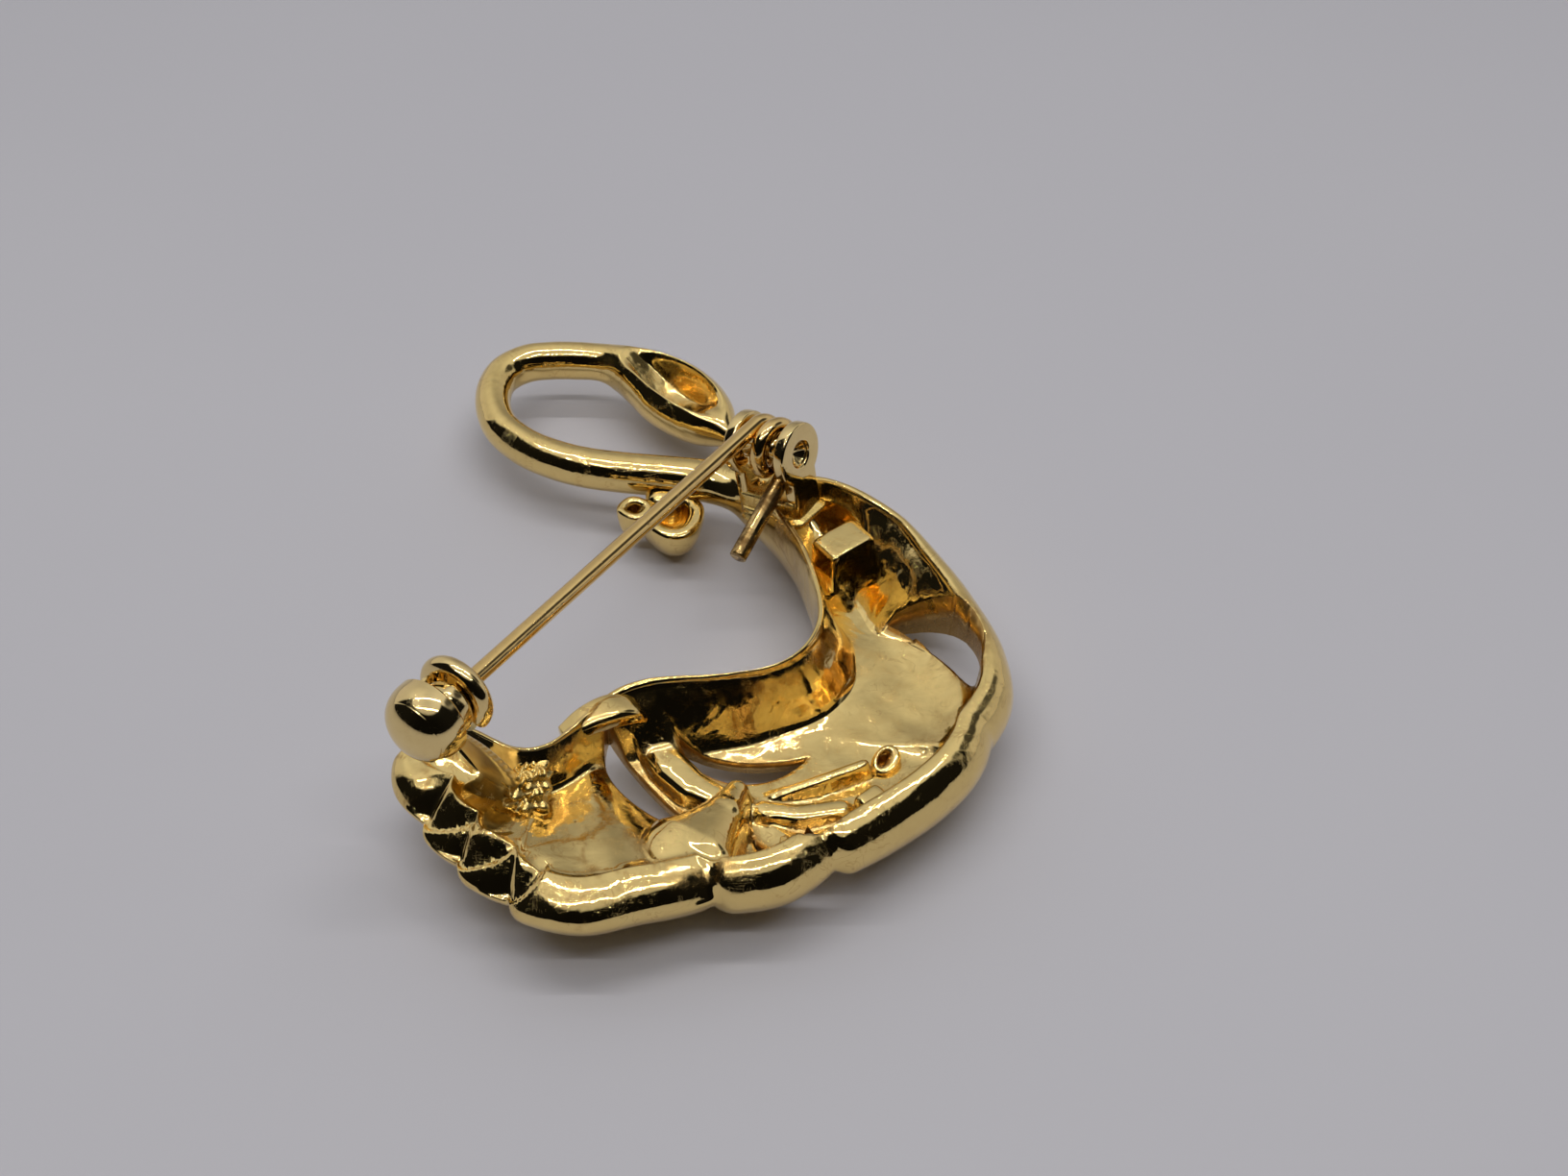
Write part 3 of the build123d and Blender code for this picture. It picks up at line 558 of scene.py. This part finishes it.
# The walls of the openings are rough cast faces; their darker gold is painted shade inside the openings.
rough_shaded_cut_metal = gold("cut_edge_rough_shaded_gold", color=(0.85, 0.56, 0.18), dull=(0.30, 0.15, 0.05), shine=0.22, uneven=2.0)
swan = piece("swan_body", points, [backs, fronts, walls, *caps], metal, "casting", ["swan_casting"])
swan.data.materials.append(rough_shaded_cut_metal)
kinds = np.zeros(len(swan.data.polygons), np.int32)
kinds[len(backs) + len(fronts):][:len(walls)] = 1
swan.data.polygons.foreach_set("material_index", kinds)
ends = np.zeros(len(swan.data.edges) * 2, np.int32)
swan.data.edges.foreach_get("vertices", ends)
ends = np.sort(ends.reshape(-1, 2), axis=1)
lips = np.sort(np.concatenate([walls[:, [0, 1]], walls[:, [2, 3]]]), axis=1)
code = np.isin(ends[:, 0] * 2**20 + ends[:, 1], lips[:, 0] * 2**20 + lips[:, 1])
swan.data.attributes.new("sharp_edge", "BOOLEAN", "EDGE").data.foreach_set("value", code)
# Painted shade at the foot of the deep walls of the shell.
wall_foot_shade = 0.5 * np.exp(-((down_wall - 0.95) / 0.05)**2) * (1 - bar) * (floor_z < crest - 0.6)
# Painted shade in the creases at the foot of the raised lines and along the edges of the openings.
stain_and_shade = np.clip(np.maximum(0.8 * foot, 0.55 * wall_foot_shade) + 0.9 * np.exp(-(cut_edge / 0.25)**2), 0, 1)
# Painted shade on the chest, in the cavity beside the hinge base.
chest_shade = np.exp(-((x / swan_size[0] - 0.63) / 0.07)**2 - ((y / swan_size[1] - 0.60) / 0.05)**2)
band = np.exp(-((down_wall - 0.22) / 0.14)**2) * smooth(4, 6, row)[:, None] * ~outer_half
# Painted shade in the hollow behind the head.
stain_and_shade = np.maximum(np.maximum(stain_and_shade, tail_wave_lines), 0.7 * dip * bar)
stain_and_shade = np.maximum(stain_and_shade, np.maximum(0.9 * chest_shade, 0.75 * band * (1 - bar)))
spread(swan, "stain_and_shade", np.r_[np.concatenate([stain_and_shade, 0.0 * stain_and_shade[:, -2:0:-1]], axis=1).ravel(), 0, 0])

# Hinge base: a small plate of brass soldered over the place where the beak, the neck and the body meet. The
# hinge and the pin share their directions: along the rivet, along the pin, and up from the plate.
heading, rise, lean = math.radians(236.3), math.radians(3.8), math.radians(12.5)
pin_way = np.array([math.cos(heading) * math.cos(rise), math.sin(heading) * math.cos(rise), math.sin(rise)])
level = np.cross([0, 0, 1], pin_way) / np.linalg.norm(np.cross([0, 0, 1], pin_way))
rivet_way = level * math.cos(lean) + np.cross(pin_way, level) * math.sin(lean)
up_way = np.cross(pin_way, rivet_way)
hinge_frame = np.array([rivet_way, pin_way, up_way])
wire_dia, coil_dia = 0.86, 0.92
rivet_dia = 1.3
coil_radius = rivet_dia / 2 + 0.12 + coil_dia / 2
coil_travel = 1.44
ear_thick = 0.7
ear_gap = coil_travel + coil_dia + 0.12


def ring_faces(count, around, ends=True):
    """Quads between rings of points, and at each end a fan to a middle point that follows the rings."""
    i, j = np.meshgrid(np.arange(count - 1), np.arange(around), indexing="ij")
    k = (j + 1) % around
    quads = np.stack([i * around + j, i * around + k, (i + 1) * around + k, (i + 1) * around + j], -1)
    if not ends:
        return [quads]
    j, k = np.arange(around), (np.arange(around) + 1) % around
    last = (count - 1) * around
    start = np.stack([k, j, np.full(around, count * around)], -1)
    end = np.stack([last + j, last + k, np.full(around, count * around + 1)], -1)
    return [quads, start, end]


def tube(name, rings, *how, **more):
    """A closed piece through rings of points, one after another."""
    rings = np.asarray(rings)
    points = np.vstack([rings.reshape(-1, 3), rings[0].mean(axis=0), rings[-1].mean(axis=0)])
    return piece(name, points, ring_faces(*rings.shape[:2]), *how, **more)


def power(value, exponent):
    """A number's size raised to a power, with its own sign."""
    return np.sign(value) * np.abs(value)**exponent


def block(name, centre, axes, half, square, *how, lumps=0.0, **more):
    """A rounded block: each part of a sphere's direction is raised to 2 / square and reaches half the size
    that way, and lumps are a wavy share of the size."""
    v, u = np.meshgrid(np.linspace(0, math.pi, 42)[1:-1], np.linspace(0, 2 * math.pi, 73)[:-1], indexing="ij")
    e = 2 / square
    unit = np.stack([power(np.sin(v), e) * power(np.cos(u), e), power(np.sin(v), e) * power(np.sin(u), e),
                     power(np.cos(v), e)], -1)
    wave = 1 + lumps * np.sin(3 * u + 2 * np.sin(2 * v) + centre[0]) * np.sin(4 * v + u * 2) * np.sin(v)
    rings = np.asarray(centre) + (unit * np.asarray(half) * wave[..., None]) @ np.asarray(axes)
    return tube(name, rings, *how, **more)


solder_metal = gold("solder_gold", color=(0.94, 0.70, 0.25), dull=(0.38, 0.2, 0.05), shine=0.26, uneven=2.0)
small_metal = gold("small_parts_gold", color=(0.92, 0.72, 0.34), shine=0.06, uneven=0.5, stains=0.15)
base_top, base_bottom = 2.45, 3.9
block("hinge_base", hinge_at - up_way * (base_top + base_bottom) / 2, hinge_frame,
      (ear_gap / 2 + ear_thick, 1.2, (base_bottom - base_top) / 2), 7, solder_metal, "casting")
block("hinge_solder", hinge_at - up_way * 3.75, hinge_frame, (2.25, 1.5, 0.55), 3, solder_metal, "casting",
      lumps=0.10)

# Hinge ears: two stamped brass plates with round heads, rounded at their edges, plated and soldered to the
# base. The rivet's hole goes through both.
ear_radius, leg_half, leg_down, hole = 1.7, 1.05, 3.9, rivet_dia / 2 + 0.05
ear_steps, edge_steps = 144, 32
angle, loop = np.meshgrid(np.linspace(0, 2 * math.pi, ear_steps + 1)[:-1],
                          np.linspace(0, 2 * math.pi, edge_steps + 1)[:-1], indexing="ij")
side_part, up_part = np.sin(angle), np.cos(angle)
to_leg = np.where(up_part < 0, np.minimum(leg_half / np.maximum(np.abs(side_part), 1e-6),
                                         leg_down / np.maximum(-up_part, 1e-6)), 0)
reach = np.maximum(ear_radius, to_leg)
from_axis = hole + (reach - hole) * (0.5 + 0.5 * power(np.cos(loop), 0.4))
for name, side in (("hinge_ear_far", -1), ("hinge_ear_near", 1)):
    sideways = side * (ear_gap + ear_thick) / 2 + ear_thick / 2 * power(np.sin(loop), 0.4)
    ear = np.stack([sideways, from_axis * side_part, from_axis * up_part], -1)
    numbers = np.arange(angle.size).reshape(angle.shape)
    quads = cells(numbers[np.r_[0:ear_steps, 0]][:, np.r_[0:edge_steps, 0]])
    piece(name, hinge_at + ear @ hinge_frame, [quads], small_metal, "casting")

# Rivet: a plain brass pin through both ears and the coil. Its ends are a little hollow and lie just inside
# the outer faces of the ears.
around_turn = np.linspace(0, 2 * math.pi, 49)[:-1]


def turned(profile, at, axes):
    """Rings of a round piece from rows of its radius and its place along the first axis."""
    profile = np.asarray(profile, float)
    circle = np.stack([np.zeros_like(around_turn), np.cos(around_turn), np.sin(around_turn)], -1)
    return at + (profile[:, :1, None] * circle + profile[:, 1:, None] * (1, 0, 0)) @ np.asarray(axes)


rivet_inset, rivet_hollow = 0.22, 0.4
half_rivet = ear_gap / 2 + ear_thick - rivet_inset
dome = np.linspace(0.05, 1, 8)
rivet_end = np.c_[rivet_dia / 2 * np.sin(dome * math.pi / 2), rivet_hollow * np.cos(dome * math.pi / 2)**2]
profile = np.vstack([rivet_end + (0, -half_rivet), rivet_end[::-1] * (1, -1) + (0, half_rivet)])
tube("rivet", turned(profile, hinge_at, hinge_frame), small_metal, "casting", nodes=["hinge_rivet"],
     finish="gold_plate_rivet")

# Pin: one spring wire. From its cut tail it comes up to the rivet, goes nearly one and a half turns round it,
# and runs on as the straight stem with a fine tapered tip. The stem is slimmer than the coil.
hinge_to_catch, tip_length, tail_length, thick_length = 23.6, 3.2, 6.0, 2.4
coil_turns = 1.44
stem_start = hinge_at + up_way * coil_radius - rivet_way * coil_travel / 2
end_turn = 2 * math.pi * coil_turns
round_turn = np.linspace(0, end_turn, 150)[::-1, None]
spoke = up_way * np.cos(round_turn) - pin_way * np.sin(round_turn)
helix = hinge_at + rivet_way * (round_turn / end_turn - 0.5) * coil_travel + spoke * coil_radius
tail_way = helix[0] - helix[1]
tail_way -= rivet_way * (tail_way @ rivet_way)
tail_way /= np.linalg.norm(tail_way)
tail = helix[0] + tail_way * np.linspace(tail_length, 0.05, 40)[:, None]
stem_length = hinge_to_catch + tip_length
on_stem = np.r_[np.linspace(0.05, hinge_to_catch, 90),
                hinge_to_catch + tip_length * np.linspace(0, 1, 16)[1:]]
stem = stem_start + pin_way * on_stem[:, None]
path = np.vstack([tail, helix, stem])
radius = np.r_[np.full(len(tail) + len(helix), coil_dia / 2),
               np.interp(on_stem, [0, thick_length, hinge_to_catch - 0.43, stem_length],
                         [coil_dia / 2, wire_dia / 2, wire_dia / 2, 0.15])]
way = np.gradient(path, axis=0)
way /= np.linalg.norm(way, axis=1)[:, None]
first = rivet_way - way * (way @ rivet_way)[:, None]
first /= np.linalg.norm(first, axis=1)[:, None]
second = np.cross(way, first)
facet = np.linspace(0, 2 * math.pi, 25)[:-1, None]
rings = (path[:, None] + radius[:, None, None]
         * (first[:, None] * np.cos(facet) + second[:, None] * np.sin(facet)))
tip_end = np.array([[0.6, 0.10], [0.25, 0.145]])
ends = [rings[-1:] * s + path[-1] * (1 - s) + pin_way * d for s, d in tip_end]
cut_end = [path[:1, None] + (rings[:1] - path[:1, None]) * s + tail_way * 0.03 for s in (0.5, 0.9)]
wire_metal = gold("wire_gold", color=(0.92, 0.66, 0.27), dull=(0.10, 0.05, 0.015), shine=0.06, uneven=0.3,
                  stains=0.1)
wire_rings = np.concatenate([*cut_end, rings, *ends])
made = tube("pin_wire", wire_rings, wire_metal, "pin", nodes=["pin_stem"], finish="gold_plate_wire")
# The cut tail and the first part of the coil are coloured near black, fading out along the coil.
tail_darkening = np.interp(np.arange(len(wire_rings)), [0, len(tail) - 4, len(tail) + 12], [1.1, 1.1, 0])
spread(made, "stain_and_shade", np.r_[np.repeat(tail_darkening, len(facet)), 1.5, 0])

# Catch arm and collar: a C of brass that is open upwards, on an arm that spreads to a flat foot, soldered to
# the floor of the body beside the tail.
catch_at = stem_start + pin_way * hinge_to_catch
catch_frame = np.array([rivet_way, up_way, pin_way])
flange_dia, flange_thick, dome_dia, shaft_dia = 4.0, 1.0, 3.95, 2.1
catch_gap, collar_dia, collar_length = 0.1, 3.1, 0.85
slot_half = wire_dia / 2 + 0.1
collar_start = flange_thick + catch_gap
bore = shaft_dia / 2 + catch_gap / 2
open_turn = math.asin(slot_half / bore)
bend = np.linspace(open_turn, 2 * math.pi - open_turn, 61)[:, None]
corner = np.linspace(0, 2 * math.pi, 25)[:-1]
from_axis = (bore + collar_dia / 2) / 2 + (collar_dia / 2 - bore) / 2 * power(np.cos(corner), 0.6)
along = collar_start + collar_length / 2 + collar_length / 2 * power(np.sin(corner), 0.6)
collar = np.stack([from_axis * np.sin(bend), from_axis * np.cos(bend), along + 0 * bend], -1)
tube("catch_collar", catch_at + collar @ catch_frame, small_metal, "casting")
arm_foot = np.array([5.5, 8.65, 3.0])
arm_top = catch_at + pin_way * (collar_start + collar_length / 2) - up_way * 1.35
down = np.linspace(0, 1, 40)[:, None]
arm_line = arm_top + (arm_foot + (0, 0, 0.35) - arm_top) * down + up_way * 0.5 * np.sin(math.pi * down)
half_across = 0.95 + 0.15 * down + 0.15 * down**3
half_along = 0.34 + 0.20 * down + 0.20 * down**3
arm_turn = np.linspace(0, 2 * math.pi, 49)[:-1]
level_in = np.array([pin_way[0], pin_way[1], 0]) / np.linalg.norm(pin_way[:2])
beads = 0.05 * np.sin(26 * math.pi * down) * np.cos(arm_turn)**8 * (np.cos(arm_turn) > 0)
arm = (arm_line[:, None] + rivet_way * (half_across * power(np.cos(arm_turn), 0.5) + beads)[..., None]
       + (level_in * 0.8 + np.array([0, 0, 0.6])) * (half_along * power(np.sin(arm_turn), 0.6))[..., None])
# The arm's gold is a paler copy, as painted light that makes it read cream and lit; its roughness is raised
# too.
arm_painted_lit_metal = gold("arm_gold_painted_lit", color=(0.95, 0.80, 0.46), shine=0.40, uneven=0.4, stains=0.0)
tube("catch_arm", arm, arm_painted_lit_metal, "casting")
SOLDER = [
    # across, along, height, size
    (6.30, 8.90, 4.4, 0.70),
    (6.85, 8.45, 4.4, 0.66),
    (6.20, 8.20, 4.2, 0.78),
    (6.70, 7.75, 3.8, 0.70),
    (6.10, 7.25, 3.6, 0.62),
]
for i, (across, along, height, size) in enumerate(SOLDER):
    block(f"catch_solder_{i + 1}", (across, along, height), np.eye(3), (size, size * 1.2, size), 2.2,
          solder_metal, "casting", lumps=0.42)

# Catch: a turned brass roller that turns in the collar. A flange and a dome hold it, and a slot along its
# axis lets the pin in; turned half round, it locks the pin. Past the slot's end the dome is whole.
slot_end = tip_length + 0.3
dome_start = flange_thick + collar_length + 2 * catch_gap
dome_straight, dome_length = 0.35, 1.75
swell = np.linspace(0, math.pi, 13)
over_dome = np.linspace(0, 0.98, 30) * math.pi / 2
profile = np.vstack([
    np.c_[flange_dia / 2 - 0.5 + 0.5 * np.sin(swell), 0.5 - 0.5 * np.cos(swell)],
    [[shaft_dia / 2 + 0.06, flange_thick], [shaft_dia / 2, flange_thick + 0.05],
     [shaft_dia / 2, dome_start - 0.05], [shaft_dia / 2 + 0.05, dome_start],
     [dome_dia / 2 - 0.12, dome_start], [dome_dia / 2, dome_start + 0.12]],
    np.c_[dome_dia / 2 * power(np.cos(over_dome), 0.85),
          dome_start + dome_straight + dome_length * power(np.sin(over_dome), 0.9)]])
split = np.searchsorted(profile[:, 1], slot_end)
cut_radius = np.interp(slot_end, profile[:, 1], profile[:, 0])
profile = np.insert(profile, split, [[cut_radius, slot_end], [cut_radius - 0.004, slot_end + 0.02]], axis=0)
radius, along = profile[:, :1], profile[:, 1:]
slotted = np.arange(len(profile))[:, None] <= split
half_turn = np.arcsin(slot_half / np.where(slotted, radius, radius[split]))
outside = half_turn + (2 * math.pi - 2 * half_turn) * np.linspace(0, 1, 90)
outside_x, outside_y = radius * np.sin(outside), radius * np.cos(outside)
bottom = np.linspace(0, math.pi, 19)
straight = np.linspace(1, 0, 10)[1:-1]
mouth_y = radius * np.cos(half_turn)
slot_x = np.r_[np.full(8, -slot_half), -slot_half * np.cos(bottom), np.full(8, slot_half)]
slot_side = mouth_y * straight
slot_y = np.hstack([slot_side, -slot_half * np.sin(bottom) + 0 * mouth_y, slot_side[:, ::-1]])
over = half_turn * np.linspace(-1, 1, len(slot_x) + 2)[1:-1]
slot_x = np.where(slotted, slot_x, radius * np.sin(over))
slot_y = np.where(slotted, slot_y, radius * np.cos(over))
rings = np.stack([np.hstack([outside_x, slot_x]), np.hstack([outside_y, slot_y]),
                  along + np.zeros(90 + slot_x.shape[1])], -1)
lock_angle = 150
lock = math.radians(-lock_angle)
turn_back = np.array([[math.cos(lock), math.sin(lock), 0], [-math.sin(lock), math.cos(lock), 0], [0, 0, 1]])
around_catch = rings.shape[1]
quads = ring_faces(len(rings), around_catch, ends=False)
inner_index = np.linspace(around_catch - 1, 90, 90).round().astype(int)
j = np.arange(89)
front_cap = np.stack([j, inner_index[j], inner_index[j + 1], j + 1], -1)
tip = rings[-1].mean(axis=0) + (0, 0, 0.002)
j = np.arange(around_catch)
last = (len(rings) - 1) * around_catch
tip_cap = np.stack([last + j, last + (j + 1) % around_catch, np.full(around_catch, rings.size // 3)], -1)
catch_points = catch_at + np.vstack([rings.reshape(-1, 3), tip]) @ turn_back @ catch_frame
catch_metal = gold("catch_gold", color=(0.92, 0.72, 0.34), shine=0.05, uneven=0.4, stains=0.1)
made = piece("catch_turned", catch_points, [*quads, front_cap, tip_cap], catch_metal, "catch",
             ["catch_rotor"], finish="gold_plate_catch")
made.data.set_sharp_from_angle(angle=math.radians(40))

# Blocks on the floor of the shell: the squared stub below the hinge and the small flat boss by the belly's
# rim. Both are cast with the body.
BLOCKS = [
    # name, across, along, half length, half width, bottom, top, turn, square
    ("stub_block", 0.720, 0.588, 1.45, 1.02, 0.8, 4.6, 38, 9),
    ("floor_boss", 0.760, 0.200, 0.80, 0.80, 0.8, 3.1, 40, 5),
]
for name, across, along, half_long, half_wide, bottom, top, turn, square in BLOCKS:
    turn = math.radians(turn)
    axes = [(math.cos(turn), math.sin(turn), 0), (-math.sin(turn), math.cos(turn), 0), (0, 0, 1)]
    centre = (across * swan_size[0], along * swan_size[1], (bottom + top) / 2)
    block(name, centre, axes, (half_long, half_wide, (top - bottom) / 2), square, metal, "casting")

# Strap: the end of the tail's rim, a flat rounded bar that runs over the bay wall to the wide bar. It is cast
# with the body.
strap_line = along_rows([(0.262, 0.262, 4.6, 0.45), (0.290, 0.271, 4.95, 0.70), (0.320, 0.281, 5.15, 0.82),
                         (0.350, 0.291, 5.10, 0.85), (0.378, 0.301, 4.70, 0.75), (0.392, 0.305, 4.10, 0.45)],
                        np.linspace(0, 5, 60))
strap_way = np.gradient(strap_line[:, :2] * swan_size, axis=0)
strap_way /= np.linalg.norm(strap_way, axis=1)[:, None]
strap_side = np.c_[-strap_way[:, 1], strap_way[:, 0], np.zeros(len(strap_way))]
strap_turn = np.linspace(0, 2 * math.pi, 41)[:-1]
strap_middle = np.c_[strap_line[:, :2] * swan_size, strap_line[:, 2]]
strap_half = strap_line[:, 3:]
strap_across = strap_half * power(np.cos(strap_turn), 0.55)
strap_up = 0.55 * power(np.sin(strap_turn), 0.7) * strap_half / 0.85
strap = (strap_middle[:, None] + strap_side[:, None] * strap_across[..., None]
         + np.array([0, 0, 1]) * strap_up[..., None])
tube("strap", strap, metal, "casting")

# Curl: a small oval ring of the cast pattern at the end of the floor's ridge. It is cast with the body, and
# its inner side is coloured dull brown as painted shade inside the ring.
curl_steps, curl_round_steps = 60, 20
ring_turn, ring_round = np.meshgrid(np.linspace(0, 2 * math.pi, curl_steps + 1)[:-1],
                                    np.linspace(0, 2 * math.pi, curl_round_steps + 1)[:-1], indexing="ij")
curl_centre = np.array([0.779 * swan_size[0], 0.272 * swan_size[1], 2.15])
curl_wide = 0.26 + 0.10 * np.cos(ring_turn)
curl = np.stack([(0.44 + curl_wide * np.cos(ring_round)) * np.cos(ring_turn),
                 (0.62 + curl_wide * np.cos(ring_round)) * np.sin(ring_turn), 0.32 * np.sin(ring_round)], -1)
curl_lean = math.radians(-28)
curl_axes = np.array([[math.cos(curl_lean), math.sin(curl_lean), 0.0],
                      [-math.sin(curl_lean), math.cos(curl_lean), 0.25], [0.15, -0.25, 1.0]])
curl = curl_centre + curl @ curl_axes
numbers = np.arange(ring_turn.size).reshape(ring_turn.shape)
quads = cells(numbers[np.r_[0:curl_steps, 0]][:, np.r_[0:curl_round_steps, 0]])
made = piece("curl_ring", curl, [quads], metal, "casting")
# Painted shade on the inner side of the ring.
spread(made, "stain_and_shade", 1.2 * (np.cos(ring_round) < -0.3).ravel())

# Bow under the neck: two small hollow cups and the bridge that joins them to the neck. They are cast with the
# neck.
def cup(name, across, along, size_x, size_y, low, high, point, hollow):
    """A cup open at the back, drawn out to a point at one side: its outside and its hollow are half-round."""
    out = np.linspace(0.06, 1, 16) * math.pi / 2
    outside = np.c_[np.sin(out), 1 - np.cos(out)]
    lip = np.array([[0.97, 1.06], [0.6 + 0.4 * hollow, 1.10], [0.1 + 0.9 * hollow, 1.06]])
    inside = np.c_[hollow * np.sin(out[::-1]), 1 - 0.62 * np.cos(out[::-1])]
    profile = np.vstack([outside, lip, inside])
    turns = np.linspace(0, 2 * math.pi, 61)[:-1]
    wobble = 0.94 + point * (np.cos((turns + 1.25) / 2)**2)**5 + 0.04 * np.sin(4 * turns + 0.6)
    rings = np.stack([across * swan_size[0] + profile[:, :1] * size_x / 2 * np.cos(turns) * wobble,
                      along * swan_size[1] + profile[:, :1] * size_y / 2 * np.sin(turns) * wobble,
                      low + profile[:, 1:] * (high - low) / 1.10 + 0 * turns], -1)
    made = tube(name, rings, metal, "casting")
    # Painted shade: the hollows of the cups are coloured dull brown.
    spread(made, "stain_and_shade", np.r_[np.repeat(np.arange(len(profile)) > 19, len(turns)) * 0.8, 0, 0.8])


cup("bow_lobe", 0.412, 0.684, 3.7, 3.5, 0.02, 2.9, 0.30, 0.55)
cup("bow_curl", 0.348, 0.684, 2.0, 1.8, 0.60, 3.1, 0.10, 0.40)
block("bow_bridge", (0.402 * swan_size[0], 0.713 * swan_size[1], 2.05), np.eye(3), (1.15, 1.0, 1.15), 3,
      metal, "casting")

# Stage: a pale table under two rows of small lamps. The room is bright above and behind the table and dark
# behind the camera, which is what the polished metal mirrors.
floor_mesh = bpy.data.meshes.new("table_top")
reach = 3.0
table_corners = [(-reach, -reach, 0), (reach, -reach, 0), (reach, reach, 0), (-reach, reach, 0)]
floor_mesh.from_pydata(table_corners, [], [(0, 1, 2, 3)])
table_top = bpy.data.objects.new("table_top", floor_mesh)
bpy.context.collection.objects.link(table_top)
card = bpy.data.materials.new("table_card")
card.use_nodes = True
card.node_tree.nodes.clear()
start = Value(card.node_tree)
place = start.node("ShaderNodeTexCoord", {})
place = Value(card.node_tree, place.socket.node.outputs["Object"]).stretched(1000, 1000, 1000)
shade = place.noise(0.02, 2.0)
tone = shade.mix((0.58, 0.57, 0.61, 1), (0.62, 0.61, 0.645, 1))
shader = start.node("ShaderNodeBsdfPrincipled", {}, Base_Color=tone, Roughness=0.75)
start.node("ShaderNodeOutputMaterial", {}, shader)
floor_mesh.materials.append(card)

world = bpy.data.worlds.new("room")
bpy.context.scene.world = world
world.use_nodes = True
world.node_tree.nodes.clear()
start = Value(world.node_tree)
toward = start.node("ShaderNodeTexCoord", {})


def facing(direction, low, high):
    """How far a part of the room lies towards a direction, from 0 at one cosine to 1 at another."""
    unit = Vector(direction).normalized()
    dot = toward.node("ShaderNodeVectorMath", {"operation": "DOT_PRODUCT"}, toward, tuple(unit))
    return Value(world.node_tree, dot.socket.node.outputs["Value"]).step(low, high)


part = toward.node("ShaderNodeSeparateXYZ", {}, toward).socket.node.outputs
dx, dy, dz = (Value(world.node_tree, part[k]) for k in "XYZ")
opening = (0.0 - dy - dx * 0.15).step(-0.22, -0.12) * (1.0 - dz.step(0.78, 0.84))
room = 0.27 + facing((0, 0.1, 1), 0.5, 1.0) * 0.32 + facing((-0.9, 0.3, 0.3), 0.2, 0.9) * 0.30
room = room + facing((0.9, 0.2, 0.3), 0.3, 0.95) * 0.25
room = room * (1.0 - 0.985 * opening) * (1.0 - 0.9 * facing((0.76, 0.30, 0.56), 0.955, 0.985))
tint = facing((0, 0, 1), 0.0, 0.8).mix((0.97, 0.95, 0.98, 1), (0.97, 0.98, 1.0, 1))
sky = start.node("ShaderNodeBackground", {}, tint, room)
start.node("ShaderNodeOutputWorld", {}, sky)


def lamps(name, back_y, count, strength):
    """A row of small square lamps under the ceiling, each facing down."""
    half_row, half_lamp, height = 0.13, 0.0021, 0.24
    at = np.linspace(-half_row, half_row, count)[:, None, None]
    corners = np.array([(-1, -1), (1, -1), (1, 1), (-1, 1)]) * half_lamp
    points = np.concatenate([corners[None, :, :1] + at, np.repeat(corners[None, :, 1:] + back_y, count, 0),
                             np.full((count, 4, 1), height)], axis=2).reshape(-1, 3)
    mesh = bpy.data.meshes.new(name)
    mesh.from_pydata(points, [], np.arange(4 * count).reshape(-1, 4)[:, ::-1].tolist())
    material = bpy.data.materials.new(name)
    material.use_nodes = True
    material.node_tree.nodes.clear()
    glow = Value(material.node_tree).node("ShaderNodeEmission", {}, (1.0, 0.98, 0.96, 1), strength)
    Value(material.node_tree).node("ShaderNodeOutputMaterial", {}, glow)
    mesh.materials.append(material)
    made = bpy.data.objects.new(name, mesh)
    made.visible_camera = False
    bpy.context.collection.objects.link(made)


lamps("front_lamps", -0.085, 18, 130)
lamps("back_lamps", 0.04, 18, 130)

# Camera: above the table and in front of the tail, tilted 46 degrees down, as the photo was taken
camera = bpy.data.cameras.new("camera")
camera.sensor_width, camera.lens = 36.0, 49.45
camera.clip_start = 0.005
view = bpy.data.objects.new("camera", camera)
view.location = (hinge_low + hinge_high) / 2 + Vector((0.69, -83.64, 76.01)) / 1000
view.rotation_euler = (math.radians(44), 0, 0)
bpy.context.collection.objects.link(view)
bpy.context.scene.camera = view
bpy.context.scene.view_settings.view_transform = "Standard"
